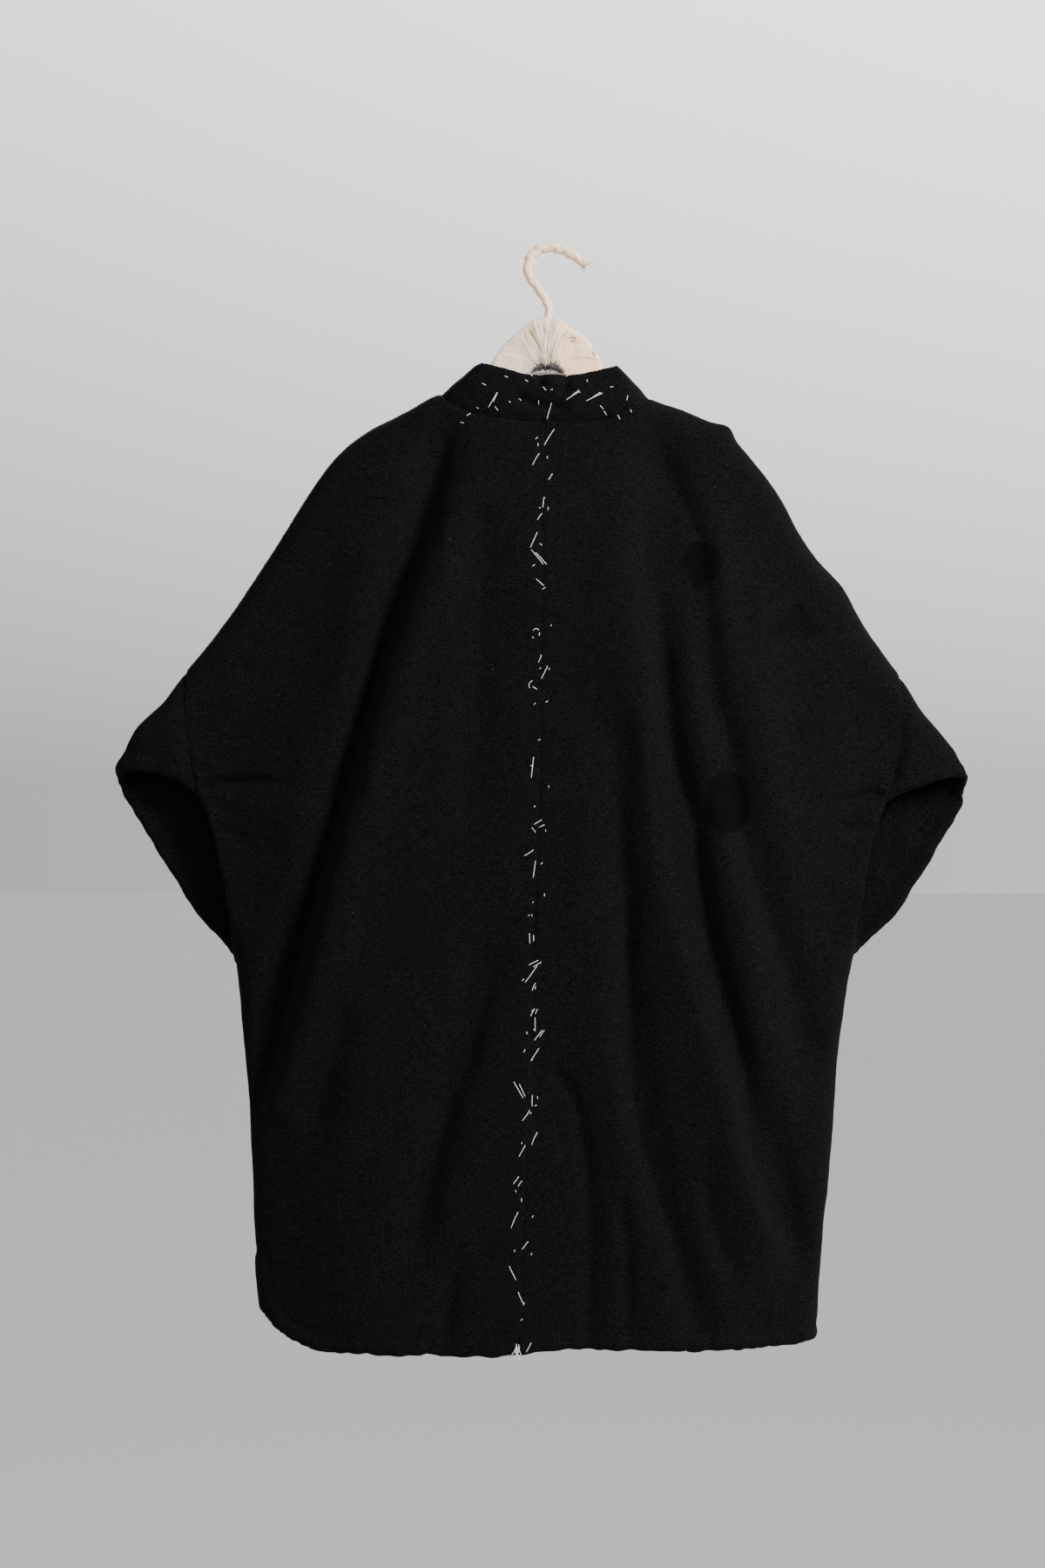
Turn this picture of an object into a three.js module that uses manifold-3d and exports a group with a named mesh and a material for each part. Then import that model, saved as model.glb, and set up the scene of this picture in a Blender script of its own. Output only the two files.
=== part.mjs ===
// A wadded cotton hanten hanging on a cloth-wrapped hanger, seen from its back.
// Millimetres, +Z up. The garment's back faces -Y and its front faces +Y, towards the wall.
// The origin is the inner top of the hook, where it hangs on a nail.
import * as THREE from "three";
import { mergeVertices } from "three/addons/utils/BufferGeometryUtils.js";
import Module from "manifold-3d";

const wasm = await Module();
wasm.setup();

// Driving sizes
const wadding = 7; // thickness of a padded wall
const sleeveWadding = 6;
const collarThickness = 10; // the band is folded double
const seamGap = 0.3; // left between pieces at a seam
const armholeGap = 0.6; // the same at the armholes, which curve
const edgeDepth = 18; // half depth where the cloth turns over a shoulder or a side
const edgeReach = 20; // how far that turn reaches into the panel
const backFullness = 24; // how much further the back stands out lower down
const frontFullness = 20;
const fullnessBelowShoulder = 200; // distance over which the fullness grows
const fullnessFromSide = 110;
const neckHalfWidth = 93.3;
const underarmZ = -654;
const armholeBlend = 70; // the armhole closes to the side seam over this height
const neckPointZ = -134; // where the neck seam meets the shoulders
const shoulderRise = 4; // the shoulder's slope is read this far to each side
const bottomZ = -1000; // about the level of the hem
const foldsFrom = 0.6; // folds begin where the half depth passes this share of edgeDepth
const foldsFull = 1.4; // and are full at this share
const foldFade = 45; // height over which a fold dies out at its ends
const stepReach = 75; // how far the raised cloth beside a fold reaches
const frontShift = 2; // the front opens this far to the right of the back's seam
const collarGap = 0.4; // between the band and the rims that it is sewn to
const collarLean = 0.71; // the free edge is narrower round the neck than the seam
const collarRise = 27; // the free edge stands this much higher at the shoulder
const collarRiseEnds = 130;
const sleeveSwell = 3; // a sleeve bulges this much between the armhole and the cuff
const sleeveMiddle = { x: 330, z: -500 };
const hangerArmRadius = 8;
const hangerArchRadius = 53;
const hangerArchHole = 15;
const hangerThickness = 14;
const hangerRound = 3; // rounding of the arch's and the bar's edges
const archX = 1; // middle of the hanger's half round arch
const archZ = -114;
const barHalfWidth = 44; // the flat bar under the arch
const barDrop = 26;
const barGap = 1; // the bar starts this far below the arch's middle, inside its rounding
const armStartX = 34;
const armClearance = 0.9; // between an arm and the inside of the cloth
const armSlope = 0.4; // how far an arm drops for each millimetre outwards
const hangerReach = 158; // where the arms' ends lie under the shoulders
const hookWire = 3.5; // radius with its wrapping

// How finely the pieces are divided
const upperRows = 12; // rows from the shoulder's turn down to the underarm
const lowerRows = { back: 13, front: 8 };
const panelColumns = { back: 15, front: 9 };
const panelWidth = 290; // about the width of a panel
const turnShares = [0, 0.134, 0.5, 1]; // lines on the round turn of an edge
const neckShares = [0.27, 0.52, 0.76, 0.95]; // columns of half of the neck seam
const sleeveShares = [0, 0.14, 0.4, 0.7, 1]; // from the armhole to the cuff
const rimShare = 0.4; // over this much of a sleeve its wall turns from the rim's direction
const settleSteps = 40;
const archSegments = 16;
const armSides = 12;
const armCapRings = 3;
const wireSides = 8;
const wireSteps = 28;

// Outline of the shoulders from one armhole to the other, square on
const shoulderLine = [
  { x: -328, z: -382 },
  { x: -296, z: -342 },
  { x: -252, z: -278 },
  { x: -212, z: -214 },
  { x: -189, z: -183 },
  { x: -166, z: -166 },
  { x: -95, z: -134 },
  { x: -55, z: -121 },
  { x: 0, z: -116 },
  { x: 55, z: -121 },
  { x: 94, z: -134 },
  { x: 165, z: -165 },
  { x: 183, z: -183 },
  { x: 208, z: -214 },
  { x: 244, z: -278 },
  { x: 291, z: -342 },
  { x: 322, z: -386 },
];

// Outer edge of the body: armhole down to the underarm, then the side seam
const leftEdge = [
  { z: -382, x: -328 },
  { z: -440, x: -329 },
  { z: -487, x: -322 },
  { z: -538, x: -304 },
  { z: -618, x: -290 },
  { z: -654, x: -286 },
  { z: -726, x: -278 },
  { z: -838, x: -271 },
  { z: -934, x: -267 },
  { z: -1010, x: -258 },
];
const rightEdge = [
  { z: -386, x: 322 },
  { z: -447, x: 324 },
  { z: -487, x: 318 },
  { z: -538, x: 299 },
  { z: -618, x: 286 },
  { z: -654, x: 281 },
  { z: -726, x: 270 },
  { z: -838, x: 262 },
  { z: -934, x: 253 },
  { z: -1010, x: 247 },
];

// Line of the hem, and the seams that the panels start from
const hemLine = [
  { x: -260, z: -974 },
  { x: -246, z: -991 },
  { x: -205, z: -1009 },
  { x: -30, z: -1010 },
  { x: -12, z: -1005 },
  { x: 60, z: -1005 },
  { x: 190, z: -1006 },
  { x: 250, z: -1001 },
];
const centreSeam = [
  { z: -160, x: -2 },
  { z: -490, x: -6 },
  { z: -810, x: -18 },
  { z: -1005, x: -24 },
];
const neckSeam = [
  { x: -93, z: -143 },
  { x: -60, z: -152 },
  { x: 10, z: -160 },
  { x: 60, z: -156 },
  { x: 93, z: -143 },
];

// Half widths of the collar band on the front, from the middle of the garment
const bandSeam = [
  { z: -134, x: 93 },
  { z: -220, x: 92 },
  { z: -400, x: 84 },
  { z: -1010, x: 78 },
];
const bandFree = [
  { z: -106, x: 62 },
  { z: -180, x: 50 },
  { z: -300, x: 30 },
  { z: -1010, x: 16 },
];

// Folds of the back: three points of the valley, its half width, its depth,
// and how far the cloth on the side of the middle seam stands out beside it
const backFolds = [
  { x1: -90, z1: -170, x2: -162, z2: -410, x3: -272, z3: -790, width: 26, depth: 19, step: 9 },
  { x1: -58, z1: -230, x2: -62, z2: -400, x3: -66, z3: -540, width: 30, depth: 4, step: 0 },
  { x1: -49, z1: -620, x2: -95, z2: -801, x3: -122, z3: -920, width: 27, depth: 9, step: 2 },
  { x1: -179, z1: -690, x2: -197, z2: -750, x3: -216, z3: -810, width: 24, depth: 6, step: 0 },
  { x1: -80, z1: -915, x2: -90, z2: -970, x3: -96, z3: -1030, width: 22, depth: 5, step: 0 },
  { x1: 98, z1: -178, x2: 150, z2: -400, x3: 240, z3: -745, width: 28, depth: 10, step: 3 },
  { x1: 92, z1: -250, x2: 128, z2: -560, x3: 236, z3: -935, width: 26, depth: 13, step: 6 },
  { x1: 62, z1: -430, x2: 76, z2: -700, x3: 140, z3: -1000, width: 25, depth: 9, step: 3 },
  { x1: 2, z1: -740, x2: 36, z2: -880, x3: 37, z3: -1030, width: 22, depth: 7, step: 0 },
  { x1: 143, z1: -840, x2: 158, z2: -890, x3: 176, z3: -950, width: 22, depth: 6, step: 0 },
];
const frontFolds = [
  { x1: -120, z1: -180, x2: -170, z2: -450, x3: -205, z3: -800, width: 40, depth: 10, step: 0 },
  { x1: -110, z1: -650, x2: -125, z2: -850, x3: -130, z3: -1030, width: 34, depth: 8, step: 0 },
  { x1: 120, z1: -180, x2: 165, z2: -450, x3: 200, z3: -800, width: 40, depth: 10, step: 0 },
  { x1: 112, z1: -600, x2: 130, z2: -850, x3: 140, z3: -1030, width: 34, depth: 8, step: 0 },
];

// Cuffs of the left and the right sleeve: for a height on the armhole, the cuff's point
const leftCuffBack = [
  { at: 0, x: -396, y: 0, z: -480 },
  { at: 4, x: -394, y: -9, z: -477 },
  { at: 13, x: -387, y: -14, z: -479 },
  { at: 26, x: -374, y: -16, z: -477 },
  { at: 60, x: -350, y: -17, z: -481 },
  { at: 90, x: -331, y: -16, z: -490 },
  { at: 125, x: -321, y: -9, z: -510 },
  { at: 160, x: -313, y: -6, z: -541 },
  { at: 240, x: -299, y: -4, z: -621 },
  { at: 272, x: -296, y: 0, z: -656 },
];
const leftCuffFront = [
  { at: 0, x: -396, y: 0, z: -480 },
  { at: 4, x: -395, y: 8, z: -486 },
  { at: 13, x: -391, y: 13, z: -494 },
  { at: 26, x: -384, y: 16, z: -505 },
  { at: 75, x: -361, y: 17, z: -543 },
  { at: 140, x: -332, y: 16, z: -590 },
  { at: 210, x: -307, y: 12, z: -632 },
  { at: 255, x: -298, y: 5, z: -650 },
  { at: 272, x: -296, y: 0, z: -656 },
];
const rightCuffBack = [
  { at: 0, x: 387, y: 0, z: -487 },
  { at: 4, x: 385, y: -9, z: -482 },
  { at: 13, x: 376, y: -14, z: -483 },
  { at: 26, x: 362, y: -16, z: -485 },
  { at: 60, x: 340, y: -17, z: -492 },
  { at: 90, x: 325, y: -16, z: -500 },
  { at: 125, x: 316, y: -9, z: -515 },
  { at: 160, x: 308, y: -6, z: -545 },
  { at: 240, x: 295, y: -4, z: -625 },
  { at: 268, x: 291, y: 0, z: -656 },
];
const rightCuffFront = [
  { at: 0, x: 387, y: 0, z: -487 },
  { at: 4, x: 386, y: 8, z: -492 },
  { at: 13, x: 383, y: 13, z: -500 },
  { at: 26, x: 376, y: 16, z: -510 },
  { at: 75, x: 355, y: 17, z: -547 },
  { at: 140, x: 327, y: 16, z: -592 },
  { at: 210, x: 302, y: 12, z: -633 },
  { at: 252, x: 293, y: 5, z: -650 },
  { at: 268, x: 291, y: 0, z: -656 },
];

// Top edge of the collar at the back, and the hook's middle line
const collarTop = [
  { x: -66, z: -107 },
  { x: -50, z: -107 },
  { x: -15, z: -116 },
  { x: 30, z: -115 },
  { x: 54, z: -109 },
  { x: 72, z: -108 },
];
const hookLine = [
  { x: 37, z: -13 },
  { x: 29, z: -6 },
  { x: 17, z: 0.6 },
  { x: 4, z: 3.5 },
  { x: -9, z: 0 },
  { x: -16.5, z: -11 },
  { x: -15, z: -24 },
  { x: -8, z: -34 },
  { x: -1, z: -43 },
  { x: 2, z: -52 },
  { x: 2.4, z: -60.4 },
];

// Smooth value of column `want` along column `by`, with no overshoot between rows
function along(rows, by, want, at) {
  const list = rows[0][by] <= rows[rows.length - 1][by] ? rows : [...rows].reverse();
  const last = list.length - 1;
  if (at <= list[0][by]) return list[0][want];
  if (at >= list[last][by]) return list[last][want];
  const i = list.findIndex((row) => row[by] > at) - 1;
  const gap = (k) => list[k + 1][by] - list[k][by];
  const rise = (k) => (list[k + 1][want] - list[k][want]) / gap(k);
  const slope = (k) => {
    if (k === 0) return rise(0);
    if (k === last) return rise(last - 1);
    const [a, b] = [rise(k - 1), rise(k)];
    return a * b <= 0 ? 0 : (2 * a * b) / (a + b);
  };
  const h = gap(i);
  const u = (at - list[i][by]) / h;
  const [p, q] = [list[i][want], list[i + 1][want]];
  const ease = u * u * (3 - 2 * u);
  return p + (q - p) * ease + h * u * (1 - u) * (slope(i) * (1 - u) - slope(i + 1) * u);
}

const clamp01 = (u) => Math.min(1, Math.max(0, u));
const ease = (u) => clamp01(u) ** 2 * (3 - 2 * clamp01(u));
const roundTurn = (u) => Math.sqrt(1 - (1 - clamp01(u)) ** 2);
const shoulderZ = (x) => along(shoulderLine, "x", "z", x);

const shoulderSlope = (x) => {
  return (shoulderZ(x + shoulderRise) - shoulderZ(x - shoulderRise)) / (2 * shoulderRise);
};

// How far a point lies below the shoulder line, square to it
const belowShoulder = (x, z) => (shoulderZ(x) - z) / Math.hypot(1, shoulderSlope(x));

// Half depth of the hanging body at a point, before its folds
function halfDepth(x, z, fullness) {
  const edge = along(x < 0 ? leftEdge : rightEdge, "z", "x", z);
  const fromSide = Math.max(0, Math.abs(edge) - Math.abs(x));
  const below = Math.max(0, belowShoulder(x, z));
  const open = ease((z - underarmZ) / armholeBlend);
  const atSide = roundTurn((fromSide + open * edgeReach) / edgeReach);
  const atTop = roundTurn(below / edgeReach);
  const swell = ease(below / fullnessBelowShoulder) * ease(fromSide / fullnessFromSide);
  return edgeDepth * atSide * atTop + fullness * swell;
}

// Sum of the folds at a point: positive goes into the garment
function foldDepth(folds, x, z, middle) {
  let sum = 0;
  for (const fold of folds) {
    const rows = [
      { z: fold.z1, x: fold.x1 },
      { z: fold.z2, x: fold.x2 },
      { z: fold.z3, x: fold.x3 },
    ];
    const strength = ease((fold.z1 - z) / foldFade + 0.5) * ease((z - fold.z3) / foldFade + 0.5);
    const inward = fold.x1 < middle ? 1 : -1;
    const across = (x - along(rows, "z", "x", z)) * inward;
    const valley = Math.abs(across) < fold.width ? 0.5 + 0.5 * Math.cos((Math.PI * across) / fold.width) : 0;
    const stand = across > 0 ? ease(across / fold.width) * ease(1 - across / stepReach) : 0;
    sum += strength * (fold.depth * valley - fold.step * stand);
  }
  return sum;
}

function bodyY(x, z, back) {
  const depth = halfDepth(x, z, back ? backFullness : frontFullness);
  const folds = foldDepth(back ? backFolds : frontFolds, x, z, 0);
  const hold = ease((depth / edgeDepth - foldsFrom) / (foldsFull - foldsFrom)); // none in the edge itself
  return (back ? -1 : 1) * Math.max(depth - folds * hold, seamGap / 2);
}

// One closed mesh from its points and quads
function closedMesh(points, quads) {
  const position = new Float32Array(points.flatMap((p) => [p.x, p.y, p.z]));
  const index = quads.flatMap(([a, b, c, d]) => [a, b, c, a, c, d]);
  const geometry = new THREE.BufferGeometry();
  geometry.setAttribute("position", new THREE.BufferAttribute(position, 3));
  geometry.setIndex(index);
  return geometry;
}

// A wall from a grid of outer points and a grid of inner points. A ring closes on its first column.
function wallBetween(outer, inner, ring, flip) {
  const columns = outer.length;
  const rows = outer[0].length;
  const points = [...outer.flat(), ...inner.flat()];
  const out = (i, j) => (i % columns) * rows + j;
  const inn = (i, j) => columns * rows + out(i, j);
  const quads = [];
  const spans = ring ? columns : columns - 1;
  for (let i = 0; i < spans; i++) {
    for (let j = 0; j < rows - 1; j++) {
      quads.push([out(i, j), out(i + 1, j), out(i + 1, j + 1), out(i, j + 1)]);
      quads.push([inn(i, j), inn(i, j + 1), inn(i + 1, j + 1), inn(i + 1, j)]);
    }
    quads.push([inn(i, 0), inn(i + 1, 0), out(i + 1, 0), out(i, 0)]);
    quads.push([out(i, rows - 1), out(i + 1, rows - 1), inn(i + 1, rows - 1), inn(i, rows - 1)]);
  }
  if (!ring) {
    for (let j = 0; j < rows - 1; j++) {
      quads.push([out(0, j), out(0, j + 1), inn(0, j + 1), inn(0, j)]);
      quads.push([inn(spans, j), inn(spans, j + 1), out(spans, j + 1), out(spans, j)]);
    }
  }
  return closedMesh(points, flip ? quads.map(([a, b, c, d]) => [a, d, c, b]) : quads);
}

// Unit normals of a grid of points, turned to the side that `towards` points to
function gridNormals(grid, ring, towards) {
  const columns = grid.length;
  return grid.map((column, i) =>
    column.map((point, j) => {
      const before = ring ? grid[(i + columns - 1) % columns][j] : grid[Math.max(0, i - 1)][j];
      const after = ring ? grid[(i + 1) % columns][j] : grid[Math.min(columns - 1, i + 1)][j];
      const up = column[Math.max(0, j - 1)];
      const down = column[Math.min(column.length - 1, j + 1)];
      const across = after.clone().sub(before);
      const normal = across.cross(down.clone().sub(up)).normalize();
      return normal.dot(towards(point, i, j)) < 0 ? normal.negate() : normal;
    }),
  );
}

// Even steps from one value to another, without the first
function evenSteps(from, to, count) {
  return Array.from({ length: count }, (_, k) => from + ((to - from) * (k + 1)) / count);
}

// Shares of a panel's width from the side in: the lines of the round turn, then even steps
function columnShares(count) {
  const turn = turnShares.map((share) => (share * edgeReach) / panelWidth);
  return [...turn, ...evenSteps(turn[turn.length - 1], 1, count)];
}

const underarmRow = turnShares.length - 1 + upperRows;
const frontMiddle = (z) => along(centreSeam, "z", "x", z) + frontShift;

// One panel of the body: outer and inner points, from its inner seam out to the side
function panelGrids(side, back) {
  const edgeRows = side < 0 ? leftEdge : rightEdge;
  const startX = (z) => {
    if (back) return along(centreSeam, "z", "x", z) + (side * seamGap) / 2;
    return frontMiddle(z) + side * (along(bandSeam, "z", "x", z) + seamGap);
  };
  const placeX = (share, z) => startX(z) + share * (along(edgeRows, "z", "x", z) - startX(z));
  const topX = startX(neckPointZ);
  const neckShare = back ? (side * neckHalfWidth - topX) / (edgeRows[0].x - topX) : 0;
  const rest = columnShares(back ? panelColumns.back : panelColumns.front).map((part) => 1 - part);
  rest.reverse();
  const spread = rest.map((part) => neckShare + part * (1 - neckShare));
  const columns = back ? [0, ...neckShares.map((part) => part * neckShare), ...spread] : rest;
  const onNeck = columns.map((_, i) => back && i <= neckShares.length);
  const outer = columns.map((share, i) => {
    let top = neckPointZ;
    for (let k = 0; k < settleSteps; k++) {
      const x = placeX(share, top);
      const limit = onNeck[i] ? along(neckSeam, "x", "z", x) : shoulderZ(x);
      top = (top + limit) / 2;
    }
    const low = along(hemLine, "x", "z", placeX(share, bottomZ));
    const turn = edgeReach * Math.hypot(1, shoulderSlope(placeX(share, underarmZ)));
    const heights = turnShares.map((part) => top - part * turn);
    heights.push(...evenSteps(heights[heights.length - 1], underarmZ, upperRows));
    heights.push(...evenSteps(underarmZ, low, back ? lowerRows.back : lowerRows.front));
    return heights.map((z) => {
      const px = placeX(share, z);
      return new THREE.Vector3(px, bodyY(px, z, back), z);
    });
  });
  const out = back ? -1 : 1;
  const last = outer.length - 1;
  const normals = gridNormals(outer, false, (point, i, j) => {
    if (i === last && j > underarmRow) return new THREE.Vector3(side, 0, 0);
    return j === 0 ? new THREE.Vector3(0, out, 1) : new THREE.Vector3(0, out, 0);
  });
  const inner = outer.map((column, i) =>
    column.map((point, j) => {
      const normal = normals[i][j].clone();
      if (j === 0 && !onNeck[i]) normal.setY(0).normalize();
      if (i === last && j >= underarmRow) normal.setY(0).setZ(0).normalize();
      if (i === 0) normal.setX(0).normalize();
      const place = point.clone().addScaledVector(normal, -wadding);
      if (back) place.y = Math.min(place.y, -seamGap / 2);
      else place.y = Math.max(place.y, seamGap / 2);
      return place;
    }),
  );
  return { outer, inner };
}

function panelMesh(grids, side, back) {
  return wallBetween(grids.outer, grids.inner, false, side > 0 === back);
}

// A sleeve starts at the rims of the two panels' armholes and ends at its cuff
function sleeveMesh(side, backGrids, frontGrids, cuffBack, cuffFront) {
  const stations = [];
  const add = (grids, rows, cuffRows) => {
    const column = grids.outer.length - 1;
    const top = grids.outer[column][0].z;
    for (const j of rows) {
      const start = grids.outer[column][j];
      const inside = grids.inner[column][j];
      const down = top - start.z;
      const cuff = new THREE.Vector3(
        along(cuffRows, "at", "x", down),
        along(cuffRows, "at", "y", down),
        along(cuffRows, "at", "z", down),
      );
      stations.push({ start, inside, cuff, middle: j === 0 || j === underarmRow });
    }
  };
  const rows = Array.from({ length: underarmRow + 1 }, (_, j) => j);
  add(backGrids, rows, cuffBack);
  add(frontGrids, rows.slice(1, underarmRow).reverse(), cuffFront);
  const shift = new THREE.Vector3(side * seamGap, 0, 0);
  const outer = stations.map(({ start, cuff, middle }) =>
    sleeveShares.map((t) => {
      const from = start.clone().add(shift);
      if (middle) from.y = 0;
      const point = from.lerp(cuff, t);
      point.y += Math.sign(cuff.y) * sleeveSwell * Math.sin(Math.PI * t);
      return point;
    }),
  );
  const centre = new THREE.Vector3(side * sleeveMiddle.x, 0, sleeveMiddle.z);
  const normals = gridNormals(outer, true, (point) => point.clone().sub(centre).setX(0));
  const inner = outer.map((column, i) =>
    column.map((point, j) => {
      const { start, inside } = stations[i];
      const first = start.clone().sub(inside).normalize();
      if (stations[i].middle) first.y = 0;
      const blend = ease(sleeveShares[j] / rimShare);
      const direction = first.multiplyScalar(1 - blend).addScaledVector(normals[i][j], blend).normalize();
      const depth = THREE.MathUtils.lerp(wadding, sleeveWadding, blend);
      return point.clone().addScaledVector(direction, -depth);
    }),
  );
  for (const point of [...outer.flat(), ...inner.flat()]) {
    point.x = side * Math.max(side * point.x, armholeX(side, backGrids, point.z) + armholeGap);
  }
  return wallBetween(outer, inner, true, side < 0);
}

// How far out the rim of the armhole lies at a height, straight from row to row as the panel is
function armholeX(side, backGrids, z) {
  const rim = backGrids.outer[backGrids.outer.length - 1];
  const below = rim.findIndex((point) => point.z <= z);
  if (below <= 0) return side * rim[0].x;
  const [a, b] = [rim[below - 1], rim[below]];
  return side * THREE.MathUtils.lerp(a.x, b.x, (a.z - z) / (a.z - b.z));
}

// The collar's stations, from the bottom of the left band round the neck to the bottom of the right.
// Its seam edge is made from the rims of the panels, moved clear; its free edge follows its own line.
function collarStations(panels) {
  const station = (outer, inner, move, free) => ({
    outer: outer.clone().add(move),
    inner: inner.clone().add(move),
    free,
  });
  const halves = panels.map(({ side, back, front }) => {
    const list = [];
    for (let i = 0; i <= neckShares.length; i++) {
      const seam = back.outer[i][0];
      const x = seam.x * collarLean;
      const y = (seam.y + back.inner[i][0].y) / 2;
      const free = new THREE.Vector3(x, y, along(collarTop, "x", "z", x));
      list.push(station(seam, back.inner[i][0], new THREE.Vector3(0, 0, collarGap), free));
    }
    front.outer[0].forEach((seam, j) => {
      const move = new THREE.Vector3(-side * collarGap, 0, j === 0 ? collarGap : 0);
      const rise = collarRise * (1 - ease((neckPointZ - seam.z) / collarRiseEnds));
      const z = seam.z + rise;
      const y = j === 0 ? 0 : (seam.y + front.inner[0][j].y) / 2;
      const x = frontMiddle(z) + side * along(bandFree, "z", "x", z);
      list.push(station(seam, front.inner[0][j], move, new THREE.Vector3(x, y, z)));
    });
    return list;
  });
  const [left, right] = halves;
  const middle = {
    outer: left[0].outer.clone().lerp(right[0].outer, 0.5),
    inner: left[0].inner.clone().lerp(right[0].inner, 0.5),
    free: left[0].free.clone().lerp(right[0].free, 0.5),
  };
  return [...left.slice(1).reverse(), middle, ...right.slice(1)];
}

// Section of the band: how far towards the free edge, and how far out in half thicknesses
const bandSection = [
  { across: 0.14, out: 1 },
  { across: 0.5, out: 1.06 },
  { across: 0.9, out: 0.92 },
  { across: 1, out: 0.4 },
  { across: 1, out: -0.4 },
  { across: 0.9, out: -0.92 },
  { across: 0.5, out: -1.06 },
  { across: 0.14, out: -1 },
];

function collarMesh(panels) {
  const stations = collarStations(panels);
  const last = stations.length - 1;
  const seams = stations.map(({ outer, inner }) => outer.clone().lerp(inner, 0.5));
  const rings = stations.map(({ outer, inner, free }, k) => {
    const seam = seams[k];
    const ahead = seams[Math.min(last, k + 1)].clone().sub(seams[Math.max(0, k - 1)]);
    const width = free.clone().sub(seam);
    const normal = width.clone().cross(ahead).normalize();
    if (normal.dot(outer.clone().sub(inner)) < 0) normal.negate();
    const ring = bandSection.map(({ across, out }) =>
      seam.clone().addScaledVector(width, across).addScaledVector(normal, (out * collarThickness) / 2),
    );
    return [outer, ...ring, inner];
  });
  const count = rings[0].length;
  const quads = [];
  for (let k = 0; k < last; k++) {
    for (let i = 0; i < count; i++) {
      const next = (i + 1) % count;
      const quad = [k * count + i, (k + 1) * count + i, (k + 1) * count + next, k * count + next];
      const onLeft = k < last / 2; // both sides split their quads the same way
      quads.push(onLeft ? [...quad.slice(1), quad[0]] : quad);
    }
  }
  for (let i = 0; i < count / 2 - 1; i++) {
    const cap = [i, i + 1, count - 2 - i, count - 1 - i];
    quads.push(cap);
    quads.push(cap.map((index) => last * count + index).reverse());
  }
  return closedMesh(rings.flat(), quads);
}

function solidFrom(geometry) {
  const plain = geometry.clone();
  plain.deleteAttribute("normal");
  plain.deleteAttribute("uv");
  const merged = mergeVertices(plain, 1e-4);
  const triVerts = new Uint32Array(merged.index.array);
  const vertProperties = merged.attributes.position.array;
  return new wasm.Manifold(new wasm.Mesh({ numProp: 3, vertProperties, triVerts }));
}

function geometryFrom(solid) {
  const { vertProperties, triVerts } = solid.getMesh();
  const geometry = new THREE.BufferGeometry();
  geometry.setAttribute("position", new THREE.BufferAttribute(vertProperties, 3));
  geometry.setIndex(new THREE.BufferAttribute(triVerts, 1));
  return geometry;
}

// A flat shape made thick, rounded along its edges and stood up facing -Y
function standing(shape) {
  const geometry = new THREE.ExtrudeGeometry(shape, {
    depth: hangerThickness - 2 * hangerRound,
    bevelThickness: hangerRound,
    bevelSize: hangerRound,
    bevelSegments: 2,
    curveSegments: archSegments,
  });
  return geometry.rotateX(Math.PI / 2).translate(0, hangerThickness / 2 - hangerRound, 0);
}

function hangerArch() {
  const outside = hangerArchRadius - hangerRound;
  const hole = hangerArchHole + hangerRound;
  const shape = new THREE.Shape();
  shape.moveTo(outside, 0);
  shape.absarc(0, 0, outside, 0, Math.PI, false);
  shape.lineTo(-hole, 0);
  shape.absarc(0, 0, hole, Math.PI, 0, true);
  shape.closePath();
  return standing(shape).translate(archX, 0, archZ);
}

function hangerBar() {
  const shape = new THREE.Shape();
  shape.moveTo(-barHalfWidth, 0);
  shape.lineTo(-barHalfWidth, -barDrop);
  shape.lineTo(barHalfWidth, -barDrop);
  shape.lineTo(barHalfWidth, 0);
  shape.closePath();
  return standing(shape).translate(archX, 0, archZ - barGap);
}

// An arm lies under the shoulder, clear of the inside of the cloth
function hangerArm(side) {
  const corner = new THREE.Vector3(side * hangerReach, 0, shoulderZ(side * hangerReach));
  const below = wadding + hangerArmRadius + armClearance;
  const square = new THREE.Vector3(-shoulderSlope(corner.x), 0, 1).normalize();
  const end = corner.addScaledVector(square, -below);
  const startZ = end.z + armSlope * (Math.abs(end.x) - armStartX);
  const start = new THREE.Vector3(side * armStartX, 0, startZ);
  const reach = end.clone().sub(start);
  const geometry = new THREE.CapsuleGeometry(hangerArmRadius, reach.length(), armCapRings, armSides);
  const turn = new THREE.Quaternion().setFromUnitVectors(
    new THREE.Vector3(0, 1, 0),
    reach.clone().normalize(),
  );
  const middle = start.clone().lerp(end, 0.5);
  return geometry.applyQuaternion(turn).translate(middle.x, middle.y, middle.z);
}

function hangerBody() {
  let solid = solidFrom(hangerArch()).add(solidFrom(hangerBar()));
  for (const side of [-1, 1]) solid = solid.add(solidFrom(hangerArm(side)));
  return geometryFrom(solid);
}

function hangerHook() {
  const path = new THREE.CatmullRomCurve3(hookLine.map(({ x, z }) => new THREE.Vector3(x, 0, z)));
  const section = new THREE.Shape(
    Array.from({ length: wireSides }, (_, k) => {
      const angle = (2 * Math.PI * k) / wireSides;
      return new THREE.Vector2(hookWire * Math.cos(angle), hookWire * Math.sin(angle));
    }),
  );
  return new THREE.ExtrudeGeometry(section, { steps: wireSteps, extrudePath: path });
}

function meshOf(name, geometry, { color, roughness }) {
  const material = new THREE.MeshStandardMaterial({ color, roughness, metalness: 0 });
  const mesh = new THREE.Mesh(geometry, material);
  mesh.name = name;
  return mesh;
}

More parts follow.
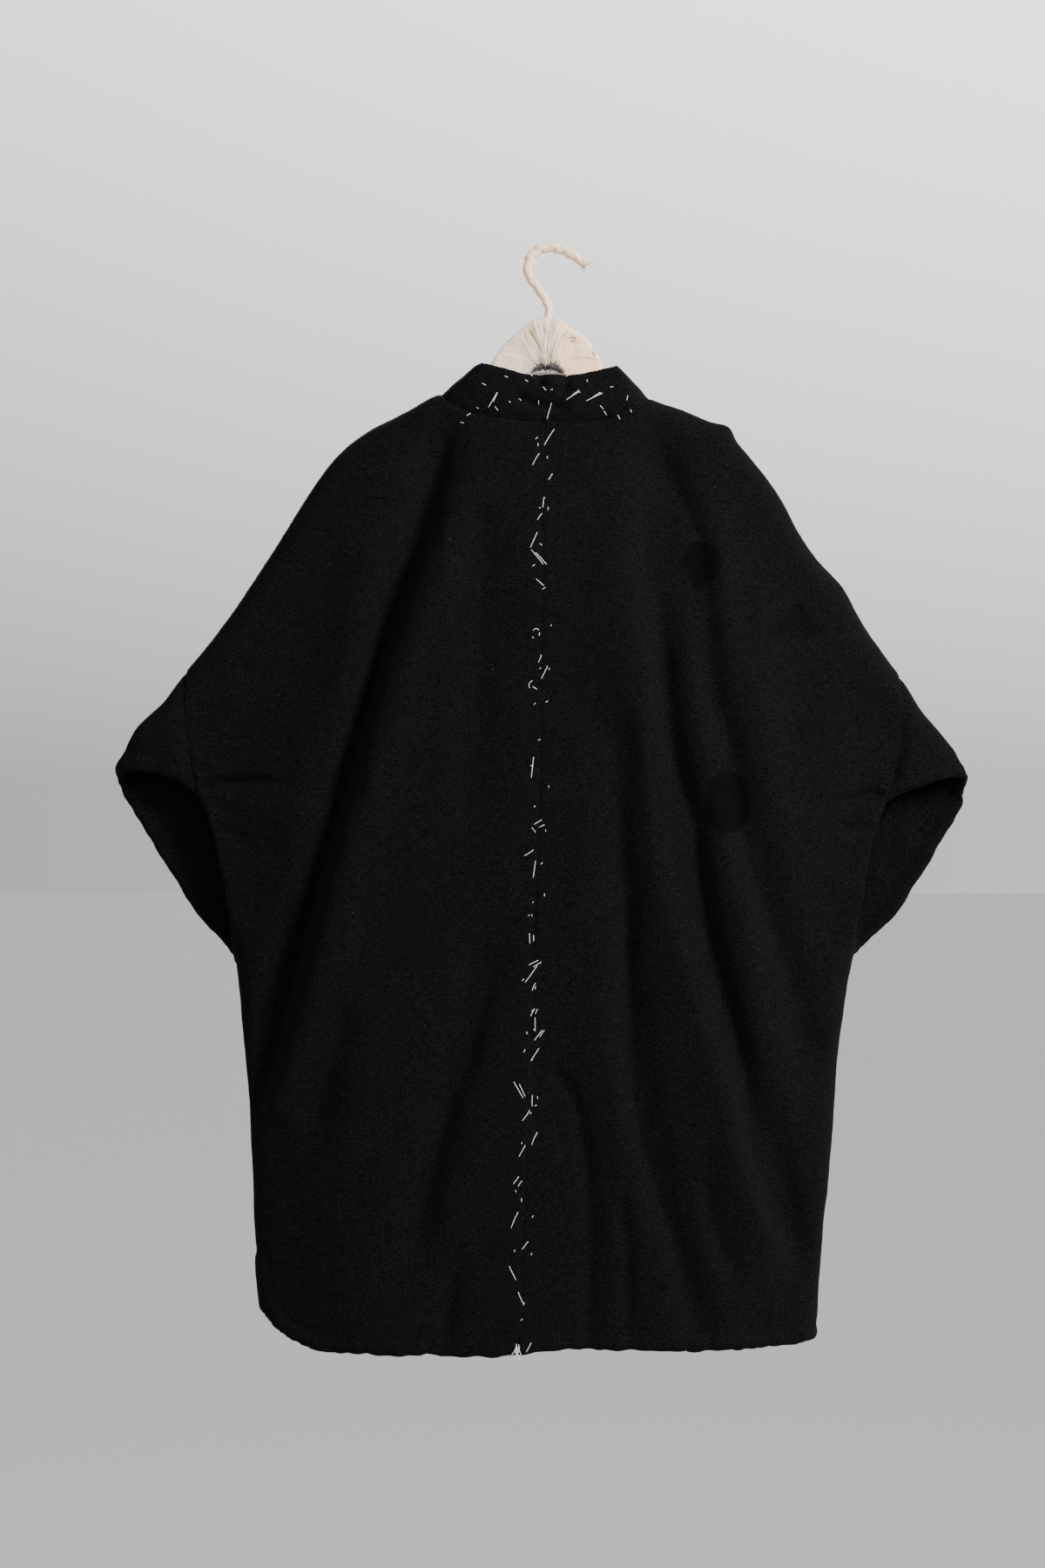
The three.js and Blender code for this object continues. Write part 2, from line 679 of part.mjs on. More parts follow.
const cloth = { color: 0x141216, roughness: 0.9 };
const strips = { color: 0xe4d9c8, roughness: 0.95 };
const hanten = new THREE.Group();
const panels = [];
for (const [name, side] of [["left", -1], ["right", 1]]) {
  const back = panelGrids(side, true);
  const front = panelGrids(side, false);
  panels.push({ side, back, front });
  hanten.add(meshOf(`back_${name}`, panelMesh(back, side, true), cloth));
  hanten.add(meshOf(`front_${name}`, panelMesh(front, side, false), cloth));
  const cuffs = side < 0 ? [leftCuffBack, leftCuffFront] : [rightCuffBack, rightCuffFront];
  hanten.add(meshOf(`sleeve_${name}`, sleeveMesh(side, back, front, ...cuffs), cloth));
}
hanten.add(meshOf("collar", collarMesh(panels), cloth));
hanten.add(meshOf("hanger_body", hangerBody(), strips));
hanten.add(meshOf("hanger_hook", hangerHook(), strips));

export default hanten;
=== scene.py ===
import math
import random

import bpy
import numpy as np
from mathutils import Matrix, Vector, noise


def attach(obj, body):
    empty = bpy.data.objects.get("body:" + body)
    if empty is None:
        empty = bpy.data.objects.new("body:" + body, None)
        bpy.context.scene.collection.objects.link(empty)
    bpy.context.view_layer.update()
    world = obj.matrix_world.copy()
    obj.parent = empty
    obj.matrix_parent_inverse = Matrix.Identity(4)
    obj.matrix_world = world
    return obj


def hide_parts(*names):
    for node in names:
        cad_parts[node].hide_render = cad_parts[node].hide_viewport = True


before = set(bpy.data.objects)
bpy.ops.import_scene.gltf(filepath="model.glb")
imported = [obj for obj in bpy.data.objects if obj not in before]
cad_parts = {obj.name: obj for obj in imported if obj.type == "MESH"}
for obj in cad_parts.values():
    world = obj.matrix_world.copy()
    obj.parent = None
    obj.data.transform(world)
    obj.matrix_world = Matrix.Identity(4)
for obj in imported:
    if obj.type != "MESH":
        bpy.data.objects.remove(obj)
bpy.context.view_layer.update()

# A wadded hanten hung by its hanger, back towards the camera (-Y). Metres.

cameraSettings = {
    "distance": 2.25,
    "lens": 56.2,
    "aimX": -0.0216,
    "aimZ": -0.4896,
}


def makeCamera(s):
    bpy.ops.object.camera_add(
        location=(s["aimX"], -s["distance"], s["aimZ"]), rotation=(math.radians(90), 0, 0)
    )
    camera = bpy.context.active_object
    camera.data.lens = s["lens"]
    camera.data.sensor_width = 36
    bpy.context.scene.camera = camera


makeCamera(cameraSettings)
print("camera placed")


# Small helpers

def ease(u):
    u = np.clip(u, 0, 1)
    return u * u * (3 - 2 * u)


def selectOnly(obj):
    bpy.ops.object.select_all(action="DESELECT")
    obj.select_set(True)
    bpy.context.view_layer.objects.active = obj


def applyModifier(obj, kind, **values):
    selectOnly(obj)
    modifier = obj.modifiers.new(kind.lower(), kind)
    for key, value in values.items():
        setattr(modifier, key, value)
    bpy.ops.object.modifier_apply(modifier=modifier.name)


def readPoints(obj):
    points = np.zeros(len(obj.data.vertices) * 3)
    obj.data.vertices.foreach_get("co", points)
    return points.reshape(-1, 3)


def writePoints(obj, points):
    obj.data.vertices.foreach_set("co", points.astype(np.float32).ravel())
    obj.data.update()


def readNormals(obj):
    normals = np.zeros(len(obj.data.vertices) * 3)
    obj.data.vertices.foreach_get("normal", normals)
    return normals.reshape(-1, 3)


def finishPiece(obj, material, slotName, *nodes):
    obj.data.materials.clear()
    obj.data.materials.append(material)
    selectOnly(obj)
    bpy.ops.object.shade_smooth()
    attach(obj, "root")
    if nodes:
        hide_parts(*nodes)


def lumps(points, size, seed):
    shift = Vector((seed * 3.1, seed * 1.7, seed * 2.3))
    return np.array([noise.noise(Vector(point) / size + shift) for point in points])


# Noise along a line of numbers
def ripples(values, row, layer=0):
    return np.array([noise.noise(Vector((value, row, layer))) for value in values])


# Points of a smooth line through the given ones
def roundedPath(points):
    points = [np.array(point, float) for point in points]
    last = len(points) - 1
    slopes = [(points[min(last, k + 1)] - points[max(0, k - 1)]) / 2 for k in range(last + 1)]
    rounded = []
    for k in range(last):
        for u in (0, 0.25, 0.5, 0.75):
            a = (1 + 2 * u) * (1 - u) ** 2
            b = u * (1 - u) ** 2
            c = u * u * (3 - 2 * u)
            d = u * u * (u - 1)
            rounded.append(a * points[k] + b * slopes[k] + c * points[k + 1] + d * slopes[k + 1])
    rounded.append(points[-1])
    return rounded


# How far each point is from a line, how far along it from 0 to 1, and on which side of a flat one
def nearestOnPath(points, path):
    nearest = np.full(len(points), 9.0)
    place = np.zeros(len(points))
    side = np.zeros(len(points))
    for k, (a, b) in enumerate(zip(path, path[1:])):
        d = b - a
        u = np.clip((points - a) @ d / max(d @ d, 1e-12), 0, 1)
        off = points - a - u[:, None] * d
        far = np.linalg.norm(off, axis=1)
        closer = far < nearest
        nearest = np.where(closer, far, nearest)
        place = np.where(closer, (k + u) / (len(path) - 1), place)
        if points.shape[1] == 2:
            side = np.where(closer, d[0] * off[:, 1] - d[1] * off[:, 0], side)
    return nearest, place, np.sign(side)


# Materials

def newMaterial(name):
    material = bpy.data.materials.new(name)
    material.use_nodes = True
    tree = material.node_tree
    return material, tree, tree.nodes["Principled BSDF"]


def addNode(tree, kind, **values):
    node = tree.nodes.new(kind)
    for key, value in values.items():
        setattr(node, key, value)
    return node


def fillSocket(tree, socket, value):
    if isinstance(value, (int, float)):
        socket.default_value = value
    elif isinstance(value, tuple):
        socket.default_value = (*value, 1)
    else:
        tree.links.new(value, socket)


def mathNode(tree, operation, *values, clamp=False):
    node = addNode(tree, "ShaderNodeMath", operation=operation, use_clamp=clamp)
    for socket, value in zip(node.inputs, values):
        fillSocket(tree, socket, value)
    return node.outputs[0]


def mixColour(tree, factor, first, second, blend="MIX"):
    node = addNode(tree, "ShaderNodeMix", data_type="RGBA", blend_type=blend)
    fillSocket(tree, node.inputs[0], factor)
    fillSocket(tree, node.inputs[6], first)
    fillSocket(tree, node.inputs[7], second)
    return node.outputs[2]


def noiseNode(tree, vector, scale, detail=2.0):
    node = addNode(tree, "ShaderNodeTexNoise")
    node.inputs["Scale"].default_value = scale
    node.inputs["Detail"].default_value = detail
    tree.links.new(vector, node.inputs["Vector"])
    return node.outputs["Fac"]


def placeNodes(tree, output="Object"):
    place = addNode(tree, "ShaderNodeTexCoord").outputs[output]
    apart = addNode(tree, "ShaderNodeSeparateXYZ")
    tree.links.new(place, apart.inputs[0])
    return place, *apart.outputs


# 0 up to a level, then rising to 1
def abovePart(tree, value, level, gain):
    above = mathNode(tree, "SUBTRACT", value, level, clamp=True)
    return mathNode(tree, "MULTIPLY", above, gain, clamp=True)


def patches(tree, vector, scale, detail, level, gain):
    return abovePart(tree, noiseNode(tree, vector, scale, detail), level, gain)


# How far x and z lie from a middle, squared, in half widths and half heights
def squaredFrom(tree, x, z, middleX, middleZ, halfX=1.0, halfZ=1.0):
    dx = mathNode(tree, "DIVIDE", mathNode(tree, "SUBTRACT", x, middleX), halfX)
    dz = mathNode(tree, "DIVIDE", mathNode(tree, "SUBTRACT", z, middleZ), halfZ)
    return mathNode(tree, "MULTIPLY_ADD", dx, dx, mathNode(tree, "MULTIPLY", dz, dz))


# Noise around 0, for edges that wander
def wanderNode(tree, vector, scale):
    return mathNode(tree, "SUBTRACT", noiseNode(tree, vector, scale, 3.0), 0.5)


# Woven threads over the unevenness of the cloth
def weaveBump(tree, shader, across, down, uneven, s):
    turn = s["threadsPerMetre"] * math.pi
    warp = mathNode(tree, "SINE", mathNode(tree, "MULTIPLY", across, turn))
    weft = mathNode(tree, "SINE", mathNode(tree, "MULTIPLY", down, turn))
    weave = mathNode(tree, "MULTIPLY", warp, weft)
    bump = addNode(tree, "ShaderNodeBump")
    bump.inputs["Strength"].default_value = s["bumpStrength"]
    bump.inputs["Distance"].default_value = s["bumpHeight"]
    tree.links.new(mathNode(tree, "MULTIPLY_ADD", weave, s["weaveShare"], uneven), bump.inputs["Height"])
    tree.links.new(bump.outputs[0], shader.inputs["Normal"])


def setSurface(shader, s):
    shader.inputs["Roughness"].default_value = s["roughness"]
    shader.inputs["Specular IOR Level"].default_value = s["specular"]
    shader.inputs["Sheen Weight"].default_value = s["sheen"]


clothLook = {
    "base": (0.0030, 0.0026, 0.0028),
    "warm": (0.0037, 0.0029, 0.0030),
    "cool": (0.0027, 0.0026, 0.0031),
    "stain": (0.0009, 0.0008, 0.0009),
    "lint": (0.022, 0.020, 0.019),
    # patches of noise: scale, detail, the level where they begin and how fast they rise
    "warmPatches": (260, 3.0, 0.35, 2.2),
    "coolPatches": (31, 3.0, 0.38, 2.0),
    "flecks": (640, 2.0, 0.28, 2.3),
    "slubs": (1.0, 2.0, 0.30, 2.2),
    "lintPatches": (420, 0.0, 0.86, 14.0),
    # the nap is made of flecks and of slubs, which are drawn out along x and y
    "fleckShare": 1.7,
    "slubShare": 0.6,
    "napBase": -0.10,
    "slubScale": (140, 140, 1100),
    "threadsPerMetre": 900,
    "weaveShare": 0.35,
    "bumpStrength": 0.4,
    "bumpHeight": 0.0006,
    "roughness": 0.9,
    "specular": 0.03,
    "sheen": 0.008,
    "sheenRoughness": 0.55,
    "sheenTint": (0.75, 0.68, 0.72),
    # how a stain fades with the distance from its middle: slope and level
    "stainFade": (-5.0, 5.6),
    "stainEdge": 55,
    # darker places: middle x and z, half width, half height, how ragged, how strong
    "stains": (
        (0.143, -0.286, 0.015, 0.020, 0.90, 0.75),
        (0.164, -0.506, 0.021, 0.028, 0.14, 0.72),
        (0.233, -0.342, 0.020, 0.013, 0.60, 0.40),
        (0.242, -0.438, 0.018, 0.015, 0.50, 0.20),
        (-0.143, -0.894, 0.004, 0.013, 0.40, 0.50),
        (-0.141, -0.862, 0.003, 0.004, 0.30, 0.40),
        (0.104, -0.943, 0.0035, 0.0035, 0.10, 0.70),
    ),
}


def clothMaterial(name, s, stained):
    material, tree, shader = newMaterial(name)
    place, x, y, z = placeNodes(tree)
    colour = mixColour(tree, patches(tree, place, *s["warmPatches"]), s["base"], s["warm"])
    colour = mixColour(tree, patches(tree, place, *s["coolPatches"]), colour, s["cool"])
    stretched = addNode(tree, "ShaderNodeVectorMath", operation="MULTIPLY")
    stretched.inputs[1].default_value = s["slubScale"]
    tree.links.new(place, stretched.inputs[0])
    slubs = patches(tree, stretched.outputs[0], *s["slubs"])
    flecks = patches(tree, place, *s["flecks"])
    nap = mathNode(tree, "MULTIPLY_ADD", slubs, s["slubShare"], s["napBase"])
    nap = mathNode(tree, "MULTIPLY_ADD", flecks, s["fleckShare"], nap)
    colour = mixColour(tree, 1.0, colour, nap, "MULTIPLY")
    colour = mixColour(tree, patches(tree, place, *s["lintPatches"]), colour, s["lint"])
    if stained:
        onBack = mathNode(tree, "LESS_THAN", y, 0.0)
        edge = wanderNode(tree, place, s["stainEdge"])
        for middleX, middleZ, halfX, halfZ, ragged, strength in s["stains"]:
            squares = squaredFrom(tree, x, z, middleX, middleZ, halfX, halfZ)
            far = mathNode(tree, "MULTIPLY_ADD", edge, ragged * 3, mathNode(tree, "SQRT", squares))
            inside = mathNode(tree, "MULTIPLY_ADD", far, *s["stainFade"], clamp=True)
            amount = mathNode(tree, "MULTIPLY", mathNode(tree, "MULTIPLY", inside, onBack), strength)
            colour = mixColour(tree, amount, colour, s["stain"])
    tree.links.new(colour, shader.inputs["Base Color"])
    setSurface(shader, s)
    shader.inputs["Sheen Roughness"].default_value = s["sheenRoughness"]
    shader.inputs["Sheen Tint"].default_value = (*s["sheenTint"], 1)
    weaveBump(tree, shader, mathNode(tree, "ADD", x, y), z, flecks, s)
    return material


wrapLook = {
    "white": (0.82, 0.67, 0.52),
    "peach": (0.98, 0.69, 0.45),
    "hook": (0.93, 0.69, 0.47),
    # the colour of the dirt patches, and of the painted shade in the folds
    "shade": (0.44, 0.30, 0.19),
    "speck": (0.22, 0.12, 0.07),
    "smudgeAndHoleShade": (0.10, 0.09, 0.085),
    # where the white strips give way to the peach ones, and how fast
    "middleX": 0.012,
    "peachPerMetre": 160.0,
    "peachEdge": 60,
    "dirt": (140, 5.0),
    "dirtAbove": (0.53, 3.0),
    "dirtShare": 0.7,
    # how strongly the painted shade darkens the folds
    "foldShadeShare": 0.72,
    # patches of noise, as in the cloth
    "finePatches": (420, 2.0, 0.66, 7.0),
    "fineShare": 0.6,
    "speckPatches": (600, 2.0, 0.45, 9.0),
    "speckFade": (-0.7, 1.1),
    # brown specks on the right: middle x and z, half width, half height
    "specks": ((0.0245, -0.0815, 0.0030, 0.0045), (0.0440, -0.0930, 0.0022, 0.0050)),
    # a dark, smudged ring round the hanger's hole, with painted shade on the hole's inner wall
    "holeX": 0.001,
    "holeZ": -0.126,
    "holeRadius": 0.0205,
    "smudgeAndShadeScale": 330,
    "smudgeAndShadePerMetre": 230.0,
    "smudgeAndShadeShare": 0.85,
    "threadsPerMetre": 1300,
    "weaveShare": 0.3,
    "bumpStrength": 0.5,
    "bumpHeight": 0.0008,
    "roughness": 0.9,
    "specular": 0.2,
    "sheen": 0.10,
}


def wrapMaterial(name, s, isHook):
    material, tree, shader = newMaterial(name)
    place, x, _, z = placeNodes(tree)

    def cover(colour, amount, share, nextColour):
        return mixColour(tree, mathNode(tree, "MULTIPLY", amount, share), colour, nextColour)

    colour = s["hook"]
    if not isHook:
        edge = wanderNode(tree, place, s["peachEdge"])
        side = mathNode(tree, "SUBTRACT", x, s["middleX"])
        side = mathNode(tree, "MULTIPLY_ADD", side, s["peachPerMetre"], edge)
        colour = mixColour(tree, mathNode(tree, "ADD", side, 0.5, clamp=True), s["white"], s["peach"])
    dirt = noiseNode(tree, place, *s["dirt"])
    colour = cover(colour, abovePart(tree, dirt, *s["dirtAbove"]), s["dirtShare"], s["shade"])
    # painted shade: darker where the shape marked the folds, grooves and dents of the wrapping
    folds = addNode(tree, "ShaderNodeAttribute", attribute_name="folds").outputs["Fac"]
    colour = cover(colour, folds, s["foldShadeShare"], s["shade"])
    colour = cover(colour, patches(tree, place, *s["finePatches"]), s["fineShare"], s["speck"])
    if not isHook:
        spots = patches(tree, place, *s["speckPatches"])
        for row in s["specks"]:
            squares = squaredFrom(tree, x, z, *row)
            near = mathNode(tree, "MULTIPLY_ADD", squares, *s["speckFade"], clamp=True)
            colour = cover(colour, near, spots, s["speck"])
        # darkest inside the hole, as painted shade on its inner wall, fading over a ragged, smudged ring
        # round its rim
        past = mathNode(tree, "SQRT", squaredFrom(tree, x, z, s["holeX"], s["holeZ"]))
        past = mathNode(tree, "SUBTRACT", past, s["holeRadius"])
        holeSmudgeAndShade = mathNode(tree, "ADD", noiseNode(tree, place, s["smudgeAndShadeScale"], 3.0), 0.1)
        holeSmudgeAndShade = mathNode(tree, "MULTIPLY_ADD", past, -s["smudgeAndShadePerMetre"], holeSmudgeAndShade, clamp=True)
        colour = cover(colour, holeSmudgeAndShade, s["smudgeAndShadeShare"], s["smudgeAndHoleShade"])
    tree.links.new(colour, shader.inputs["Base Color"])
    setSurface(shader, s)
    weaveBump(tree, shader, mathNode(tree, "ADD", x, z), mathNode(tree, "SUBTRACT", z, x), dirt, s)
    return material


threadLook = {
    "twistScale": 1800,
    "shade": 0.72,
    "roughness": 0.8,
    "specular": 0.5,
    "sheen": 0.2,
}
mattThread = {**threadLook, "specular": 0.03, "sheen": 0.008}


def threadMaterial(name, colour, s):
    material, tree, shader = newMaterial(name)
    twist = noiseNode(tree, placeNodes(tree)[0], s["twistScale"])
    shade = tuple(part * s["shade"] for part in colour)
    tree.links.new(mixColour(tree, twist, shade, colour), shader.inputs["Base Color"])
    setSurface(shader, s)
    return material


blackCotton = clothMaterial("blackCotton", clothLook, True)
collarCotton = clothMaterial("collarCotton", clothLook, False)
stripCotton = wrapMaterial("stripCotton", wrapLook, False)
hookCotton = wrapMaterial("hookCotton", wrapLook, True)
bastingThread = threadMaterial("bastingThread", (0.80, 0.76, 0.68), threadLook)
seamThread = threadMaterial("seamThread", (0.0050, 0.0045, 0.0046), mattThread)
looseFibre = threadMaterial("looseFibre", (0.62, 0.50, 0.36), threadLook)
# dark fibres round the hanger's hole, partly standing in for the shade inside the hole
darkFuzz = threadMaterial("darkFuzz", (0.10, 0.085, 0.075), threadLook)
print("materials made")


# Wadded cloth: a smooth copy of the cut pieces, with rounded edges

meshing = {
    "mergeWithin": 0.00005,
    "quadAngle": math.radians(60),
    "quadSkew": math.radians(120),
    "sharpAngle": math.radians(55),
}


def clothFrom(name, nodeNames, cell, smoothing=3):
    copies = []
    for nodeName in nodeNames:
        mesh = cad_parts[nodeName].data.copy()
        copy = bpy.data.objects.new(name, mesh)
        bpy.context.scene.collection.objects.link(copy)
        selectOnly(copy)
        bpy.ops.object.mode_set(mode="EDIT")
        bpy.ops.mesh.select_all(action="SELECT")
        bpy.ops.mesh.remove_doubles(threshold=meshing["mergeWithin"])
        bpy.ops.mesh.tris_convert_to_quads(
            face_threshold=meshing["quadAngle"], shape_threshold=meshing["quadSkew"]
        )
        bpy.ops.mesh.select_mode(type="EDGE")
        bpy.ops.mesh.select_all(action="DESELECT")
        bpy.ops.mesh.edges_select_sharp(sharpness=meshing["sharpAngle"])
        bpy.ops.transform.edge_crease(value=1)
        bpy.ops.object.mode_set(mode="OBJECT")
        applyModifier(copy, "SUBSURF", levels=2, render_levels=2)
        copies.append(copy)
    selectOnly(copies[0])
    for copy in copies[1:]:
        copy.select_set(True)
    if len(copies) > 1:
        bpy.ops.object.join()
    piece = bpy.context.active_object
    piece.name = name
    applyModifier(piece, "REMESH", mode="VOXEL", voxel_size=cell, adaptivity=0)
    applyModifier(piece, "SMOOTH", factor=0.5, iterations=smoothing)
    return piece


# The points of a piece that lie near another one, and the way from each to the nearest place on it
def pointsNear(points, other, reach, lowest):
    others = readPoints(other)
    low, high = others.min(axis=0) - reach, others.max(axis=0) + reach
    low[2] = max(low[2], lowest)
    for k in np.flatnonzero(np.all((points > low) & (points < high), axis=1)):
        found, place, _, _ = other.closest_point_on_mesh(Vector(points[k]), distance=reach)
        if found:
            yield k, np.array(place) - points[k]


# Sewing one piece to another: its rim is drawn over the gap and into the other's edge
def tuckInto(piece, target, reach, depth, lowest=-9.0):
    points = readPoints(piece)
    for k, across in pointsNear(points, target, reach, lowest):
        far = np.linalg.norm(across)
        pull = ease(1.6 * (1 - far / reach))
        points[k] += across / max(far, 1e-6) * (far + depth) * pull
    writePoints(piece, points)


# The rim of a piece is pushed a little way into its neighbour, for a shallow seam between them
def lapOver(piece, neighbour, reach, push, lowest=-9.0):
    points = readPoints(piece)
    for k, across in pointsNear(points, neighbour, reach, lowest):
        near = ease(1.25 - np.linalg.norm(across) / reach)
        points[k] += np.array(push) * near * ease((points[k][2] - lowest) / 0.03)
    writePoints(piece, points)


# A crease along x and z. A step lets the cloth on the side of the middle stand out over it, and it fades
# over a share of its length at the start and at the end.
def crease(path, depth, width, step=0, start=0.12, end=0.18):
    return {"path": roundedPath(path), "depth": depth, "width": width, "step": step,
            "start": start, "end": end}


backCreases = (
    crease(((-0.088, -0.165), (-0.108, -0.230), (-0.124, -0.290), (-0.146, -0.346), (-0.162, -0.410),
            (-0.178, -0.462), (-0.191, -0.514), (-0.203, -0.559), (-0.216, -0.607), (-0.234, -0.670),
            (-0.250, -0.734), (-0.272, -0.790)),
           0.0105, 0.015, step=0.0060, start=0.35, end=0.03),
    crease(((0.098, -0.178), (0.120, -0.222), (0.140, -0.270), (0.147, -0.346), (0.152, -0.410),
            (0.168, -0.462), (0.178, -0.544), (0.195, -0.594), (0.217, -0.658), (0.238, -0.742)),
           0.0034, 0.020, step=0.0015),
    crease(((0.092, -0.250), (0.103, -0.330), (0.109, -0.394), (0.117, -0.470), (0.135, -0.522),
            (0.138, -0.566), (0.150, -0.637), (0.170, -0.709), (0.181, -0.763), (0.191, -0.839),
            (0.213, -0.894), (0.234, -0.927)),
           0.0047, 0.016, step=0.0025, start=0.3),
    crease(((0.062, -0.430), (0.064, -0.490), (0.070, -0.574), (0.074, -0.658), (0.076, -0.742),
            (0.084, -0.806), (0.103, -0.869), (0.124, -0.932), (0.137, -0.990)),
           0.0034, 0.015, step=0.0012, start=0.3),
    crease(((0.002, -0.742), (0.023, -0.772), (0.034, -0.818), (0.038, -0.890), (0.037, -1.000)),
           0.0034, 0.012, step=0.0008),
    crease(((0.068, -0.860), (0.072, -0.910), (0.075, -1.000)), 0.0038, 0.011),
    crease(((0.143, -0.847), (0.154, -0.902), (0.174, -0.940)), 0.0034, 0.013),
    crease(((-0.049, -0.624), (-0.057, -0.692), (-0.074, -0.750), (-0.095, -0.801), (-0.112, -0.869),
            (-0.120, -0.910)),
           0.0028, 0.017, step=0.001, start=0.3, end=0.3),
    crease(((-0.179, -0.692), (-0.196, -0.750), (-0.213, -0.801)), 0.0022, 0.018),
    crease(((-0.082, -0.932), (-0.095, -0.999)), 0.0032, 0.014),
    crease(((-0.058, -0.230), (-0.060, -0.330), (-0.066, -0.530)), 0.0022, 0.024),
    crease(((-0.314, -0.494), (-0.300, -0.489), (-0.270, -0.487), (-0.240, -0.489), (-0.205, -0.496)),
           0.0080, 0.008, start=0.03, end=0.7),
    crease(((-0.306, -0.506), (-0.290, -0.516), (-0.276, -0.522)), 0.0026, 0.009, end=0.6),
    crease(((-0.300, -0.528), (-0.284, -0.537), (-0.264, -0.546)), 0.0034, 0.010, end=0.5),
    crease(((0.308, -0.498), (0.292, -0.500), (0.268, -0.507), (0.240, -0.516)),
           0.0065, 0.009, start=0.2, end=0.7),
    crease(((0.300, -0.520), (0.282, -0.530), (0.262, -0.537)), 0.0032, 0.011, start=0.45, end=0.5),
)


def creaseDepth(x, z, creases, stepReach=0.055):
    total = np.zeros(len(x))
    places = np.column_stack((x, z))
    for row in creases:
        far, place, side = nearestOnPath(places, row["path"])
        fade = ease(place / row["start"]) * ease((1 - place) / row["end"])
        valley = np.maximum(0, 1 - far / row["width"]) ** 1.6
        inwards = np.where(side * np.sign(row["path"][0][0]) < 0, 1.0, 0.0)
        beside = ease(far / (row["width"] * 0.8)) * ease(1 - far / stepReach) * inwards
        total += fade * (row["depth"] * valley - row["step"] * beside)
    return total


# Where the cloth stands out further at the outline: x, z, how far along x and z, and over what reach
bulges = (
    (-0.096, -0.142, -0.0022, 0.0034, 0.022),
    (0.166, -0.163, 0.0045, 0.0045, 0.011),
    (0.270, -0.310, 0.0046, 0.0038, 0.028),
    (-0.375, -0.443, -0.0056, 0.0048, 0.030),
    (0.376, -0.455, 0.0036, 0.0031, 0.028),
)


def addBulges(points, rows):
    x, z = points[:, 0].copy(), points[:, 2].copy()
    for middleX, middleZ, alongX, alongZ, reach in rows:
        near = np.exp(-(((x - middleX) ** 2 + (z - middleZ) ** 2) / reach ** 2))
        points[:, 0] += alongX * near
        points[:, 2] += alongZ * near


wadding = {
    "cell": 0.0034,
    "lumpSize": 0.045,
    "lumpHeight": 0.0012,
    "smallSize": 0.016,
    "smallHeight": 0.00025,
    "puckerSize": 0.014,
    "rollReach": 0.010,
    "hemRoll": 0.0018,
    "hemPucker": 0.0019,
    "stitchLine": 0.015,
    "stitchDepth": 0.0004,
    "sideSeam": 0.0012,
    "sideSeamTop": -0.62,
    "foldFrom": 0.022,
    # the creases of the front are milder ones, mirrored and moved a little along x and z
    "frontShare": 0.7,
    "frontShift": (-0.020, 0.012),
    # the hem is drawn up below a height, over a reach
    "hemLift": 0.0045,
    "liftBelow": -0.90,
    "liftReach": 0.10,
    "seamReach": 0.014,
    "centreLap": 0.0032,
}
# The hem, along x and z
hemLine = (
    (-0.268, -0.930), (-0.262, -0.968), (-0.246, -0.991), (-0.205, -1.009), (-0.030, -1.010),
    (-0.012, -1.005), (0.060, -1.005), (0.190, -1.006), (0.250, -1.001),
)


# A padded edge: fuller at the rim, drawn in along its stitching, and puckered
def rolledEdge(far, along, s, roll, pucker, seed):
    full = roll * np.sqrt(np.clip(1 - (far / s["rollReach"]) ** 2, 0, 1))
    drawn = s["stitchDepth"] * np.exp(-((far - s["stitchLine"]) / 0.003) ** 2)
    waves = ripples(along / s["puckerSize"], seed)
    return full - drawn + waves * pucker * ease(1 - far / (s["stitchLine"] * 1.6))


def shapeBody(piece, s):
    points = readPoints(piece)
    x, y, z = points.T
    inBack = ease(-y / s["foldFrom"])
    inFront = ease(y / s["foldFrom"])
    points[:, 1] += inBack * creaseDepth(x, z, backCreases)
    shiftX, shiftZ = s["frontShift"]
    points[:, 1] -= inFront * creaseDepth(shiftX - x, shiftZ + z, backCreases) * s["frontShare"]
    addBulges(points, bulges)
    writePoints(piece, points)
    normals = readNormals(piece)
    swell = lumps(points, s["lumpSize"], 1) * s["lumpHeight"]
    swell += lumps(points, s["smallSize"], 5) * s["smallHeight"]
    places = np.column_stack((x, z))
    fromHem, _, _ = nearestOnPath(places, [np.array(point) for point in hemLine])
    swell += rolledEdge(fromHem, x + np.where(y < 0, 0, 0.3), s, s["hemRoll"], s["hemPucker"], 3.0)
    atSide = ease((s["sideSeamTop"] - z) / 0.03) * ease((np.abs(x) - 0.2) / 0.03)
    swell -= s["sideSeam"] * atSide * np.exp(-((y / 0.0025) ** 2))
    points += normals * swell[:, None]
    points[:, 2] += s["hemLift"] * ease((s["liftBelow"] - points[:, 2]) / s["liftReach"])
    writePoints(piece, points)


bodyPieces = []
for sideName in ("left", "right"):
    nodeNames = ("back_" + sideName, "front_" + sideName)
    body = clothFrom("body" + sideName.title(), nodeNames, wadding["cell"])
    shapeBody(body, wadding)
    bodyPieces.append(body)
    print("body", sideName, len(body.data.polygons))
bodyLeft, bodyRight = bodyPieces
lapOver(bodyLeft, bodyRight, wadding["seamReach"], (wadding["centreLap"], 0, 0))
lapOver(bodyRight, bodyLeft, wadding["seamReach"], (-wadding["centreLap"], 0, 0))
print("centre seam sewn")

